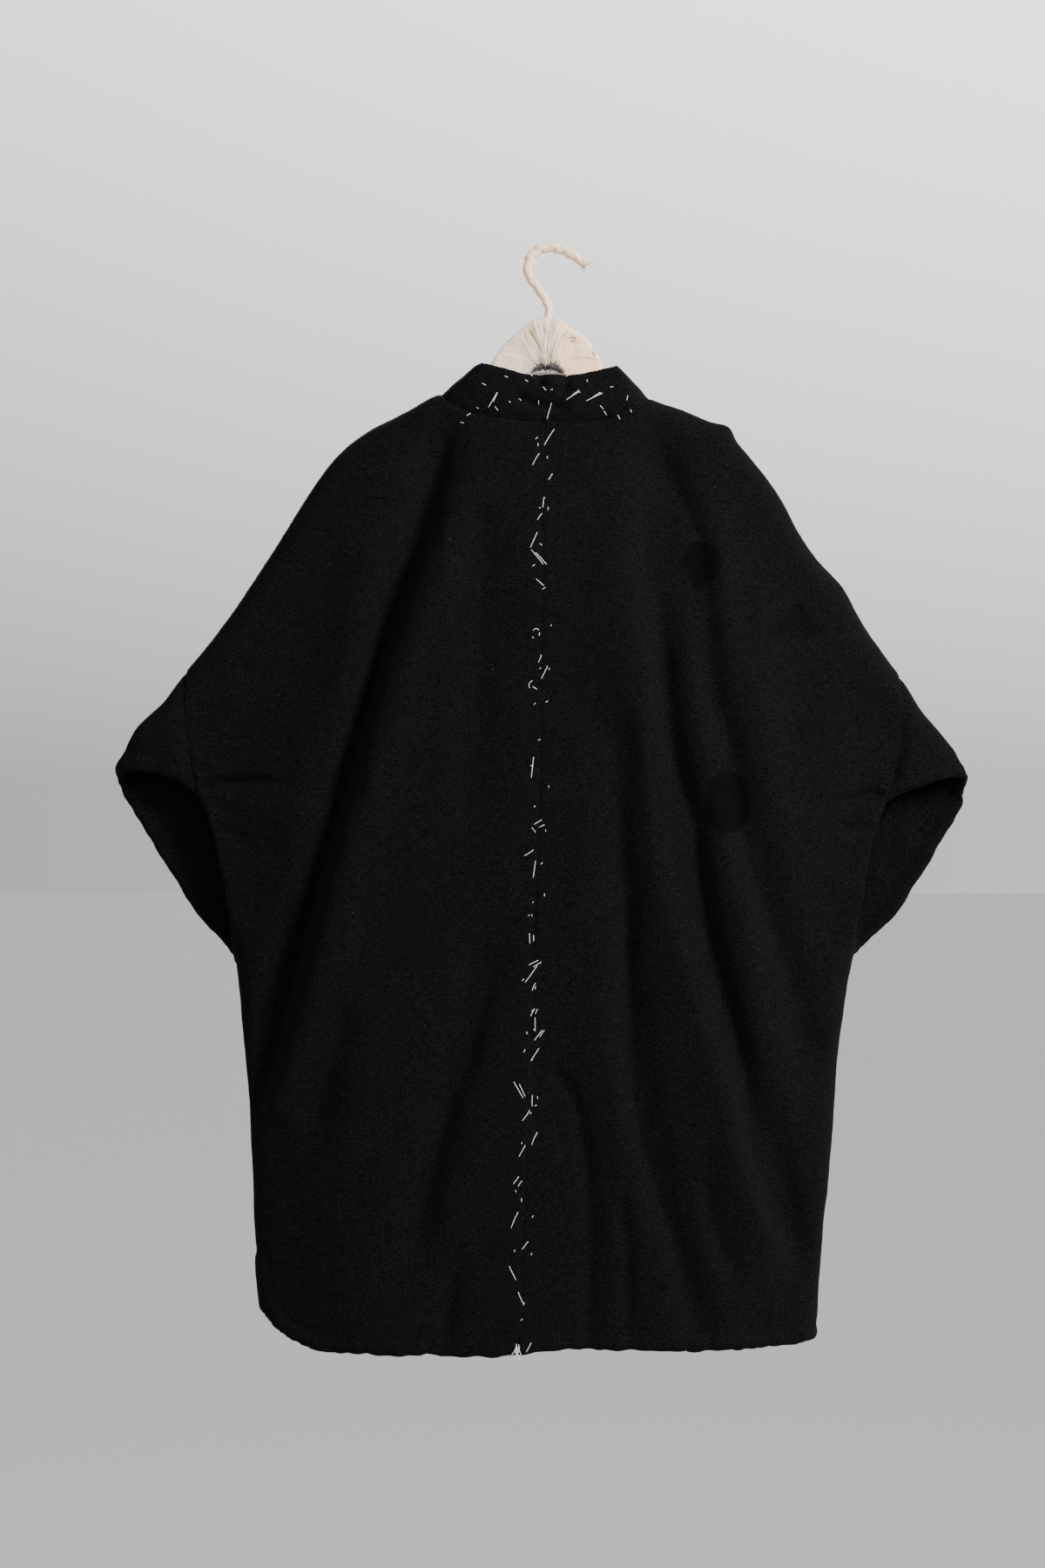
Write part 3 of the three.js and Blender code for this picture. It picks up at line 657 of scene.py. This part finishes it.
# The cuffs' edges, along x and z, on the back and on the front of each sleeve
sleeveCuffs = {
    "left": {
        "back": ((-0.396, -0.480), (-0.387, -0.478), (-0.374, -0.477), (-0.350, -0.481), (-0.331, -0.490),
                 (-0.321, -0.510), (-0.313, -0.541), (-0.299, -0.621), (-0.296, -0.656)),
        "front": ((-0.396, -0.480), (-0.391, -0.494), (-0.384, -0.505), (-0.361, -0.543), (-0.332, -0.590),
                  (-0.307, -0.632), (-0.298, -0.650)),
    },
    "right": {
        "back": ((0.387, -0.487), (0.376, -0.483), (0.362, -0.485), (0.340, -0.492), (0.325, -0.500),
                 (0.316, -0.515), (0.308, -0.545), (0.295, -0.625), (0.291, -0.656)),
        "front": ((0.387, -0.487), (0.383, -0.500), (0.376, -0.510), (0.355, -0.547), (0.327, -0.592),
                  (0.302, -0.633), (0.293, -0.650)),
    },
}
sleeveWadding = {
    **wadding,
    "cell": 0.0026,
    "sleeveLumps": 0.0011,
    "cuffRoll": 0.0014,
    "cuffPucker": 0.0010,
    "stitchDepth": 0.0006,
    # how far the front edge of the cuff shows past the back one, along x and z
    "cuffReach": {"left": (-0.0018, -0.0012), "right": (0.0056, -0.0037)},
    "cuffRim": 0.022,
    # the reach and the depth of its seam to the body, and how far down it goes
    "tuck": (0.010, 0.003, -0.67),
    # how far the edge of the back is lapped over the sleeve, along x and z
    "lap": (0.0034, -0.0040),
    "lapDownTo": -0.475,
    # under the arm the back of the sleeve and the foot of its cuff lie behind the edge of the back
    "underarmZ": -0.488,
    "behindBack": 0.0125,
    "footZ": -0.605,
    "behindFoot": 0.0115,
}


def shapeSleeve(piece, cuffs, outwards, s):
    points = readPoints(piece)
    x, y, z = points.T
    normals = readNormals(piece)
    places = np.column_stack((x, z))
    swell = lumps(points, s["smallSize"] * 1.4, 7) * s["sleeveLumps"]
    edges = {}
    for layer, sign, seed in (("back", -1, 4.0), ("front", 1, 8.0)):
        far, place, _ = nearestOnPath(places, roundedPath(cuffs[layer]))
        onLayer = ease(y * sign / 0.006 + 0.5)
        swell += onLayer * rolledEdge(far, place * 0.3, s, s["cuffRoll"], s["cuffPucker"], seed)
        edges[layer] = (far, place, onLayer)
    points += normals * swell[:, None]
    far, place, onFront = edges["front"]
    outer = ease(1.15 - far / s["cuffRim"]) * ease((place - 0.05) / 0.25) * ease((1 - place) / 0.35)
    outer *= onFront
    points[:, 0] += outer * outwards[0]
    points[:, 2] += outer * outwards[1]
    addBulges(points, bulges)
    writePoints(piece, points)


def hideUnderarm(piece, s):
    points = readPoints(piece)
    x, y, z = points.T
    onBack = ease(0.5 - y / 0.008)
    behind = s["behindBack"] * onBack * ease((s["underarmZ"] - z) / 0.028)
    behind = np.maximum(behind, s["behindFoot"] * ease((s["footZ"] - z) / 0.045))
    points[:, 0] -= np.sign(x) * behind
    writePoints(piece, points)


sleeves = []
for sideName, body in (("left", bodyLeft), ("right", bodyRight)):
    sleeve = clothFrom("sleeve" + sideName.title(), ("sleeve_" + sideName,), sleeveWadding["cell"], 2)
    shapeSleeve(sleeve, sleeveCuffs[sideName], sleeveWadding["cuffReach"][sideName], sleeveWadding)
    tuckInto(sleeve, body, *sleeveWadding["tuck"])
    hideUnderarm(sleeve, sleeveWadding)
    side = -1 if sideName == "left" else 1
    lapX, lapZ = sleeveWadding["lap"]
    lapOver(body, sleeve, wadding["seamReach"], (side * lapX, 0, lapZ), sleeveWadding["lapDownTo"])
    sleeves.append(sleeve)
    finishPiece(sleeve, blackCotton, "cloth", "sleeve_" + sideName)
    print("sleeve", sideName, len(sleeve.data.polygons))

collarShape = {
    "cell": 0.0029,
    "tuck": (0.008, 0.002),
    # the corners of the top edge: x, z, and how far each one rises
    "peaks": ((-0.0555, -0.1050, 0.0034), (0.0640, -0.1070, 0.0012)),
    "peakReach": 0.007,
    # creases along x and z: the dent over the middle, and the two short folds that leave the top edge
    "creases": (
        crease(((-0.030, -0.134), (-0.013, -0.142), (0.003, -0.146), (0.020, -0.1455)), 0.0052, 0.006),
        crease(((0.0180, -0.112), (0.0178, -0.122), (0.0165, -0.135)), 0.0054, 0.006),
        crease(((-0.0050, -0.112), (-0.0050, -0.120), (-0.0046, -0.129)), 0.0046, 0.005),
    ),
    # the cloth that stands out between those two folds
    "raisedX": 0.0065,
    "raisedZ": -0.126,
    "raisedHalfX": 0.009,
    "raisedHalfZ": 0.012,
    "raised": 0.003,
    "lumpSize": 0.030,
    "lumpHeight": 0.0011,
    "smallSize": 0.010,
    "smallHeight": 0.00035,
}


def shapeCollar(piece, s):
    points = readPoints(piece)
    x, y, z = points.T
    atBack = ease((-y - 0.004) / 0.006) * ease((z + 0.20) / 0.03)
    for peakX, peakZ, rise in s["peaks"]:
        near = np.exp(-(((x - peakX) ** 2 + (z - peakZ) ** 2) / s["peakReach"] ** 2))
        points[:, 2] += rise * near
        points[:, 0] += np.sign(peakX) * rise * 0.25 * near
    addBulges(points, bulges)
    points[:, 1] += atBack * creaseDepth(x, z, s["creases"])
    far = ((x - s["raisedX"]) / s["raisedHalfX"]) ** 2 + ((z - s["raisedZ"]) / s["raisedHalfZ"]) ** 2
    points[:, 1] -= atBack * np.exp(-far) * s["raised"]
    writePoints(piece, points)
    normals = readNormals(piece)
    swell = lumps(points, s["lumpSize"], 11) * s["lumpHeight"]
    swell += lumps(points, s["smallSize"], 12) * s["smallHeight"]
    writePoints(piece, points + normals * swell[:, None])


collarBand = clothFrom("collarBand", ("collar",), collarShape["cell"])
shapeCollar(collarBand, collarShape)
for body in bodyPieces:
    tuckInto(collarBand, body, *collarShape["tuck"])
finishPiece(collarBand, collarCotton, "collar_cloth", "collar")
print("collar", len(collarBand.data.polygons))

for sideName, body in zip(("left", "right"), bodyPieces):
    finishPiece(body, blackCotton, "cloth", "back_" + sideName, "front_" + sideName)


# The hanger's body, wound with cloth strips: a half round arch, a bar and two arms

hangerWrap = {
    "cell": 0.0011,
    "middleX": 0.001,
    "middleZ": -0.114,
    "radius": 0.053,
    # how far the arch reaches at an angle from +X, in degrees
    "reach": ((0, 0.0530), (10, 0.0520), (28, 0.0493), (44, 0.0493), (60, 0.0483), (76, 0.0512),
              (90, 0.0530), (111, 0.0500), (126, 0.0470), (142, 0.0485), (156, 0.0494), (170, 0.0530),
              (180, 0.0535)),
    # the cut hole's radius, the wrapped one's, and how far its middle lies below the arch's
    "cutHole": 0.015,
    "holeRadius": 0.020,
    "holeDrop": 0.012,
    "holeBlend": 0.030,
    # where strips end: angle at the rim, angle at the hole, how high the edge stands
    "strips": (
        (12, 44, 0.0012), (66, 76, 0.0020), (77, 80, 0.0024), (84, 85, 0.0012), (90, 88, 0.0015),
        (96, 94, 0.0014), (104, 98, 0.0021), (118, 102, 0.0030), (121, 128, 0.0018), (152, 141, 0.0016),
    ),
    "stripFade": 11.0,
    "stripWander": 6,
    # the height of a strip's edge that gives the full painted shade in its groove
    "shadeFullHeight": 0.0024,
    # strips lie flatter over the last millimetres before the rim
    "rimFlat": 0.75,
    "rimFrom": 0.009,
    "rimBlend": 0.008,
    "creasedAngle": 88,
    "creasedSpread": 26,
    "armPitch": 0.014,
    "armStep": 0.0009,
    "wrinkleSize": 0.008,
    "wrinkle": 0.0015,
    "fineSize": 0.0040,
    "fineWrinkle": 0.0002,
}


# Painted shade in the wrapping: how deep in a fold each point lies, from 0 to 1, which the material turns
# into darker colour
def paintFoldShade(piece, shadeDepths):
    marks = piece.data.attributes.new("folds", "FLOAT", "POINT")
    marks.data.foreach_set("value", np.clip(shadeDepths, 0, 1).astype(np.float32))


def wrapHanger(piece, s):
    points = readPoints(piece)
    x, y, z = points.T
    dx, dz = x - s["middleX"], z - s["middleZ"]
    radius = np.hypot(dx, dz)
    angle = np.degrees(np.arctan2(dz, dx))
    onArch = ease((dz + 0.002) / 0.006)
    angles, reaches = zip(*s["reach"])
    shrink = np.interp(angle, angles, reaches) / s["radius"]
    drawn = 1 - onArch * (1 - shrink) * ease((radius - 0.018) / s["holeBlend"])
    # the hole's middle lies lower than the arch's, so that only its top shows over the collar
    turn = np.radians(angle)
    rim = np.sqrt(s["holeRadius"] ** 2 - (s["holeDrop"] * np.cos(turn)) ** 2) - s["holeDrop"] * np.sin(turn)
    inner = 1 - ease((radius - s["cutHole"]) / s["holeBlend"])
    share = np.clip(s["cutHole"] / np.maximum(radius, 0.004), 0, 1.2)
    drawn += onArch * inner * (rim / s["cutHole"] - 1) * share
    points[:, 0] = s["middleX"] + dx * drawn
    points[:, 2] = s["middleZ"] + dz * drawn
    writePoints(piece, points)
    normals = readNormals(piece)
    outwards = np.clip((radius - s["cutHole"]) / (s["radius"] - s["cutHole"]), 0, 1)
    layers = np.zeros(len(points))
    shadeDepths = np.zeros(len(points))
    for atRim, atHole, height in s["strips"]:
        height = height * (0.75 + 1.1 * ripples(radius * 45, atRim, 7))
        wander = s["stripWander"] * ripples(radius * 55, atRim)
        past = angle - (atHole + (atRim - atHole) * outwards) - wander
        layers += np.where(past > 0, height * np.exp(-past / s["stripFade"]), 0) * ease((past + 1.2) / 1.2)
        layers -= height * 0.8 * np.exp(-((past + 0.9) / 1.1) ** 2)
        # painted shade in the groove under each strip's edge
        shadeDepths += height / s["shadeFullHeight"] * np.exp(-((past + 0.7) / 1.5) ** 2) * onArch
    layers *= 1 - s["rimFlat"] * ease((radius - s["radius"] + s["rimFrom"]) / s["rimBlend"])
    stretched = points * np.array((1.0, 1.0, 0.45))
    creased = 0.35 + np.exp(-(((angle - s["creasedAngle"]) / s["creasedSpread"]) ** 2))
    folds = lumps(stretched, s["wrinkleSize"], 21) * s["wrinkle"] * creased
    folds += lumps(points, s["fineSize"], 22) * s["fineWrinkle"]
    alongArm = (np.abs(x) - z * 0.4) / s["armPitch"] + np.arctan2(y, z) / math.tau
    turns = (alongArm % 1) * s["armStep"]
    swell = onArch * layers + (1 - onArch) * turns + folds
    writePoints(piece, points + normals * swell[:, None])
    # painted shade in the grooves under the strips' edges and in the dents of the wrinkles
    paintFoldShade(piece, shadeDepths * 0.9 - folds / 0.0010)


hangerBody = clothFrom("hangerWrapping", ("hanger_body",), hangerWrap["cell"])
wrapHanger(hangerBody, hangerWrap)
finishPiece(hangerBody, stripCotton, "wrapping", "hanger_body")
print("hanger wrapped", len(hangerBody.data.polygons))


# Strands: the hook's rod, loose fibres, fuzz and thread are swept along lines of points

def strandsFrom(name, paths, radius, roundness, taper=0.0):
    curve = bpy.data.curves.new(name, "CURVE")
    curve.dimensions = "3D"
    curve.bevel_depth = radius
    curve.bevel_resolution = roundness
    curve.use_fill_caps = True
    for path in paths:
        spline = curve.splines.new("POLY")
        spline.points.add(len(path) - 1)
        for k, (point, place) in enumerate(zip(spline.points, path)):
            point.co = (*place, 1)
            point.radius = 1 - taper * k / (len(path) - 1)
    strands = bpy.data.objects.new(name, curve)
    bpy.context.scene.collection.objects.link(strands)
    selectOnly(strands)
    bpy.ops.object.convert(target="MESH")
    return bpy.context.active_object


hookWrap = {
    "radius": 0.0044,
    # the rod's middle along x and z, from the tip down
    "line": ((0.0370, -0.0130), (0.0290, -0.0060), (0.0170, 0.0006), (0.0040, 0.0035), (-0.0090, 0.0000),
             (-0.0165, -0.0110), (-0.0150, -0.0240), (-0.0080, -0.0340), (-0.0010, -0.0430),
             (0.0020, -0.0520), (0.0024, -0.0625)),
    "spacing": 0.0005,
    # each turn of the strip rises by a step over most of the pitch, and drops at its edge
    "pitch": 0.0115,
    "step": 0.0008,
    "rise": 0.88,
    "raggedSize": 0.0030,
    "ragged": 0.0003,
    "lumpSize": 0.0085,
    "lumpHeight": 0.0007,
    "frayedShare": 0.09,
}


def wrapHook(piece, path, s):
    points = readPoints(piece)
    line = np.array(path)
    _, place, _ = nearestOnPath(points, path)
    length = np.linalg.norm(np.diff(line, axis=0), axis=1).sum()
    k = np.clip((place * (len(path) - 1)).astype(int), 0, len(path) - 2)
    ahead = line[k + 1] - line[k]
    ahead /= np.linalg.norm(ahead, axis=1)[:, None]
    centre = line[k] + ahead * (np.einsum("ij,ij->i", points - line[k], ahead))[:, None]
    out = points - centre
    out /= np.maximum(np.linalg.norm(out, axis=1), 1e-6)[:, None]
    inPlane = np.column_stack((-ahead[:, 2], np.zeros(len(k)), ahead[:, 0]))
    aroundRod = np.arctan2(points[:, 1], np.einsum("ij,ij->i", out, inPlane)) / math.tau
    wander = lumps(points, 0.012, 31) * 0.25
    turn = (place * length / s["pitch"] + aroundRod + wander) % 1
    edge = s["step"] * np.where(turn < s["rise"], turn / s["rise"], (1 - turn) / (1 - s["rise"]))
    rough = lumps(points, s["raggedSize"], 32) * s["ragged"]
    rough += lumps(points, s["lumpSize"], 33) * s["lumpHeight"]
    fray = ease(1 - place / s["frayedShare"])
    rough *= 1 + 3.0 * fray
    # thinner at the frayed tip, thicker after it, and gathered in towards the foot
    thinner = -0.0003 * fray + 0.0006 * np.exp(-((place - 0.14) / 0.03) ** 2)
    gather = -0.0006 * ease((place - 0.45) / 0.3) - 0.0006 * ease((place - 0.90) / 0.1)
    writePoints(piece, points + out * (edge + rough + thinner + gather - s["step"] / 2)[:, None])
    # painted shade in the groove at each turn's edge and in the dents, and darker towards the frayed tip
    folds = np.where(turn < 0.5, 0.8 * np.exp(-((turn / 0.07) ** 2)), 0)
    paintFoldShade(piece, folds + fray * 0.7 - rough / 0.004)


def densePath(points, step):
    rounded = np.array(roundedPath(points))
    along = np.concatenate(([0], np.cumsum(np.linalg.norm(np.diff(rounded, axis=0), axis=1))))
    places = np.linspace(0, along[-1], int(along[-1] / step))
    return [np.array([np.interp(place, along, rounded[:, axis]) for axis in range(3)]) for place in places]


hookPath = densePath([(x, 0, z) for x, z in hookWrap["line"]], hookWrap["spacing"])
hook = strandsFrom("hookWrapping", [hookPath], hookWrap["radius"], 10)
wrapHook(hook, hookPath, hookWrap)
finishPiece(hook, hookCotton, "wrapping", "hanger_hook")
print("hook wrapped", len(hook.data.polygons))

frayedEnds = {
    "seed": 5,
    "radius": 0.00022,
    "taper": 0.6,
    # place on the hook, from its tip at 0, how many fibres, and how long
    "tufts": ((0.005, 46, 0.0064), (0.05, 20, 0.0030), (0.12, 22, 0.0042), (0.17, 10, 0.0028),
              (0.93, 9, 0.0036), (0.47, 4, 0.0020)),
    "rootDepth": 0.0024,
    "tipLean": 1.1,
    "lean": 0.35,
    "curl": 0.45,
}


# The points of a strand that leaves a place one way and bends another
def bentStrand(start, way, bend, shares):
    return [start + way * u + bend * u * u for u in shares]


def frayHook(path, s):
    rng = random.Random(s["seed"])
    fibres = []
    for place, count, length in s["tufts"]:
        for _ in range(count):
            k = min(len(path) - 2, int(len(path) * (place + rng.uniform(0, 0.03))))
            back = Vector(path[k] - path[k + 1]).normalized()
            aside = Vector((rng.uniform(-1, 1), rng.uniform(-1, 0.6), rng.uniform(-1, 1)))
            aside = (aside - aside.dot(back) * back).normalized()
            lean = s["tipLean"] if place < 0.05 else s["lean"]
            start = Vector(path[k]) + aside * s["rootDepth"]
            way = (aside * rng.uniform(0.5, 1) + back * lean * rng.uniform(0.6, 1.2)).normalized()
            bend = Vector((rng.uniform(-1, 1), rng.uniform(-1, 1), rng.uniform(-1, 0.4))) * s["curl"]
            reach = length * rng.uniform(0.45, 1)
            fibres.append(bentStrand(start, way * reach, bend * reach, (0, 0.25, 0.5, 0.75, 1)))
    return strandsFrom("hookFibres", fibres, s["radius"], 0, s["taper"])


hookFibres = frayHook(hookPath, frayedEnds)
finishPiece(hookFibres, looseFibre, "wrapping")

holeFuzz = {
    "seed": 9,
    "count": 1500,
    "radius": 0.00014,
    "taper": 0.7,
    "length": 0.0082,
    "clumps": 3.4,
    # lowest, highest and commonest place round the hole, in degrees from +X
    "angles": (25, 152, 68),
    "inset": 0.0008,
    "curl": 0.5,
    # outside the hole the fuzz lies on the wrapping, no deeper than this y
    "surfaceY": -0.0076,
}


# Dark fuzz round the top of the hanger's hole. Many fibres reach in across the hole: partly frayed fuzz,
# partly dark strands put there to stand in for the shade seen through the hole
def fuzzRound(s, wrap):
    rng = random.Random(s["seed"])
    middle = Vector((wrap["middleX"], 0, wrap["middleZ"] - wrap["holeDrop"]))
    fibres = []
    for _ in range(s["count"]):
        angle = math.radians(rng.triangular(*s["angles"]))
        outwards = Vector((math.cos(angle), 0, math.sin(angle)))
        start = middle + outwards * (wrap["holeRadius"] - s["inset"])
        start += Vector((0, rng.uniform(-0.0066, 0.004), 0))
        way = (outwards * rng.uniform(-1, 1) + Vector((rng.uniform(-0.9, 0.9), -0.2, 0))).normalized()
        clump = 0.66 + 1.3 * noise.noise(Vector((angle * s["clumps"], 0, 4.0)))
        reach = s["length"] * rng.uniform(0.15, 1) * clump * (0.45 + 0.55 * math.sin(angle) ** 2)
        bend = Vector((rng.uniform(-1, 1), rng.uniform(-0.6, 0.1), rng.uniform(-1, 1))) * s["curl"]
        path = bentStrand(start, way * reach, bend * reach, (0, 0.33, 0.66, 1))
        for point in path:
            if (point - middle).length > wrap["holeRadius"]:
                point.y = min(point.y, s["surfaceY"])
        fibres.append(path)
    return strandsFrom("holeFuzz", fibres, s["radius"], 0, s["taper"])


fuzz = fuzzRound(holeFuzz, hangerWrap)
finishPiece(fuzz, darkFuzz, "wrapping")
print("fibres laid", len(hookFibres.data.polygons) + len(fuzz.data.polygons))


# White basting stitches, in a seeded layout down the middle seam and over the collar

stitches = {
    "seed": 17,
    "radius": 0.00027,
    "seamTop": -0.150,
    "seamBottom": -1.003,
    "groupGap": 0.0170,
    "spread": 0.0090,
    "length": 0.0150,
    # a random number below these gives a pair, a single stitch or a loose loop
    "pairBelow": 0.20,
    "singleBelow": 0.66,
    "loopBelow": 0.76,
    # slants in degrees from +X, middle and spread, of most stitches and of those that lean back
    "slant": (62, 16),
    "backSlant": (122, 14),
    "backShare": 0.16,
    "collarCount": 26,
    "collarLeft": -0.078,
    "collarWidth": 0.160,
    "collarTop": -0.123,
    "collarDrop": 0.020,
    "collarLength": 0.0066,
    "longShare": 0.26,
    "longSlant": (38, 10),
    "shortSlant": (-30, 40),
    "tailCount": 7,
    "tailLength": 0.010,
}
# The middle seam, along z and x, from the hem up
seamLine = ((-1.005, -0.024), (-0.810, -0.018), (-0.490, -0.006), (-0.160, -0.002))
# How far the ends of a stitch lie in the cloth, and the rest of it above
stitchSunk = -0.0012
stitchClear = 0.0002
clothPieces = [bodyLeft, bodyRight, collarBand, *sleeves]


# The outermost cloth at a place on the back, and its normal
def onCloth(x, z):
    best = None
    for piece in clothPieces:
        hit, place, normal, _ = piece.ray_cast(Vector((x, -0.3, z)), Vector((0, 1, 0)), distance=0.4)
        if hit and (best is None or place.y < best[0].y):
            best = (place.copy(), normal.copy())
    return best


def stitchPath(x, z, angle, length, bow, lift):
    points = []
    for u in (-1, -0.8, -0.5, 0, 0.5, 0.8, 1):
        along = u * length / 2
        aside = bow * (1 - u * u)
        px = x + math.cos(angle) * along - math.sin(angle) * aside
        pz = z + math.sin(angle) * along + math.cos(angle) * aside
        found = onCloth(px, pz)
        if not found:
            return None
        place, normal = found
        height = stitchClear + lift * (1 - u * u) if abs(u) < 1 else stitchSunk
        points.append(place + normal * height)
    return points


def baste(s):
    rng = random.Random(s["seed"])
    levels, seamPlaces = zip(*seamLine)
    paths = []

    def add(x, z, angle, length, bow=0.0, lift=0.0003):
        path = stitchPath(x, z, angle, length, bow, lift)
        if path:
            paths.append(path)

    z = s["seamTop"]
    while z > s["seamBottom"]:
        seamX = np.interp(z, levels, seamPlaces)
        kind = rng.random()
        x = seamX + rng.uniform(-1, 0.9) * s["spread"]
        slant = math.radians(rng.gauss(*s["slant"]))
        if rng.random() < s["backShare"]:
            slant = math.radians(rng.gauss(*s["backSlant"]))
        length = s["length"] * rng.uniform(0.45, 1.45)
        if kind < s["pairBelow"]:
            add(x, z, slant, length)
            nextZ = z - rng.uniform(-0.002, 0.004)
            add(x + 0.0034, nextZ, slant + rng.uniform(-0.1, 0.1), length * rng.uniform(0.5, 0.9))
        elif kind < s["singleBelow"]:
            add(x, z, slant, length, rng.uniform(-0.0006, 0.0006))
        elif kind < s["loopBelow"]:
            add(x, z, slant - 0.9, length * 0.8, rng.uniform(0.0012, 0.0024), 0.0009)
            add(x + 0.003, z - 0.003, slant + 0.5, length * 0.5)
        for _ in range(rng.choice((0, 1, 1, 2))):
            add(seamX + rng.uniform(-1, 1) * s["spread"], z - rng.uniform(-0.009, 0.009),
                math.radians(rng.uniform(20, 150)), rng.uniform(0.0015, 0.0034))
        z -= s["groupGap"] * rng.uniform(0.55, 1.5)
    for k in range(s["collarCount"]):
        across = (k + rng.uniform(0.1, 0.9)) / s["collarCount"]
        x = s["collarLeft"] + s["collarWidth"] * across
        fallen = s["collarDrop"] * (abs(x) / (s["collarWidth"] / 2)) ** 1.6
        z = s["collarTop"] - fallen - rng.uniform(-0.010, 0.019)
        long = rng.random() < s["longShare"]
        angle = math.radians(rng.gauss(*s["longSlant" if long else "shortSlant"]))
        length = s["collarLength"] * (rng.uniform(1.7, 3.3) if long else rng.uniform(0.3, 0.75))
        add(x, z, angle, length)
        if long:
            add(x + 0.002, z + 0.002, angle + 0.12, length * 0.5)
    # the tuft of thread ends that hangs at the hem
    seamX, hemZ = seamLine[0][1], s["seamBottom"]
    start = onCloth(seamX - 0.002, hemZ + 0.006)
    for _ in range(s["tailCount"]):
        way = Vector((rng.uniform(-0.35, 0.25), rng.uniform(-0.25, 0.15), -1))
        bend = Vector((rng.uniform(-0.4, 0.4), 0, 0))
        root = start[0] + Vector((rng.uniform(-0.002, 0.002), -0.0002, rng.uniform(0, 0.003)))
        reach = s["tailLength"] * rng.uniform(0.7, 1.25)
        paths.append([root + (way * u + bend * u * u) * reach for u in (0, 0.25, 0.5, 0.75, 1)])
    return strandsFrom("bastingStitches", paths, s["radius"], 1), len(paths)


armholeStitches = {
    "radius": 0.00016,
    "length": 0.0019,
    "gap": 0.0046,
    # rows of the seam at each armhole, from the top down along x and z
    "rows": (
        ((-0.3245, -0.402), (-0.3235, -0.440), (-0.3195, -0.481)),
        ((0.3245, -0.426), (0.3225, -0.455), (0.3195, -0.484)),
    ),
}


def sewArmholes(s):
    paths = []
    for row in s["rows"]:
        line = densePath([(x, 0, z) for x, z in row], s["gap"])
        for above, below in zip(line, line[1:]):
            angle = math.atan2(below[2] - above[2], below[0] - above[0])
            path = stitchPath(above[0], above[2], angle, s["length"], 0, 0.0002)
            if path:
                paths.append(path)
    return strandsFrom("armholeStitches", paths, s["radius"], 0)


armholes = sewArmholes(armholeStitches)
finishPiece(armholes, seamThread, "thread")
basting, stitchCount = baste(stitches)
finishPiece(basting, bastingThread, "thread")
print("stitches sewn", stitchCount)


# Floor and light

stageSettings = {
    "floorZ": -2.6,
    "floorSize": 90,
    "floorColour": (0.525, 0.52, 0.515),
    "roughness": 0.95,
    "specular": 0.1,
    "brighterRight": 0.8,
    # the room's light by the sine of its height, from the horizon to the ceiling
    "room": ((0.0, (0.66, 0.655, 0.65)), (0.31, (2.10, 2.10, 2.09)),
             (0.50, (1.15, 1.15, 1.15)), (1.0, (0.9, 0.9, 0.9))),
}


def makeStage(s):
    bpy.ops.mesh.primitive_plane_add(size=s["floorSize"], location=(0, 0, s["floorZ"]))
    floor = bpy.context.active_object
    floor.name = "floor"
    material, _, shader = newMaterial("paleFloor")
    shader.inputs["Base Color"].default_value = (*s["floorColour"], 1)
    shader.inputs["Roughness"].default_value = s["roughness"]
    shader.inputs["Specular IOR Level"].default_value = s["specular"]
    floor.data.materials.append(material)
    world = bpy.data.worlds.new("paleRoom")
    bpy.context.scene.world = world
    world.use_nodes = True
    tree = world.node_tree
    _, across, _, up = placeNodes(tree, "Generated")
    ramp = addNode(tree, "ShaderNodeValToRGB")
    while len(ramp.color_ramp.elements) < len(s["room"]):
        ramp.color_ramp.elements.new(0.5)
    for stop, (height, colour) in zip(ramp.color_ramp.elements, s["room"]):
        stop.position = height
        stop.color = (*colour, 1)
    tree.links.new(up, ramp.inputs[0])
    sideways = mathNode(tree, "MULTIPLY_ADD", across, s["brighterRight"], 1.0)
    shade = mixColour(tree, 1.0, ramp.outputs[0], sideways, "MULTIPLY")
    tree.links.new(shade, tree.nodes["Background"].inputs["Color"])


lightsAim = (0, 0, -0.5)
lights = (
    {"at": (2.1, -1.7, 0.9), "size": 1.1, "power": 195},
    {"at": (-1.9, -2.0, 0.3), "size": 2.0, "power": 14},
    {"at": (-0.4, 2.5, 0.7), "size": 1.6, "power": 130},
)


def makeLights(rows, target):
    for row in rows:
        bpy.ops.object.light_add(type="AREA", location=row["at"])
        lamp = bpy.context.active_object
        lamp.data.size = row["size"]
        lamp.data.energy = row["power"]
        aim = Vector(target) - Vector(row["at"])
        lamp.rotation_euler = aim.to_track_quat("-Z", "Y").to_euler()


makeStage(stageSettings)
makeLights(lights, lightsAim)
print("stage and lights made")
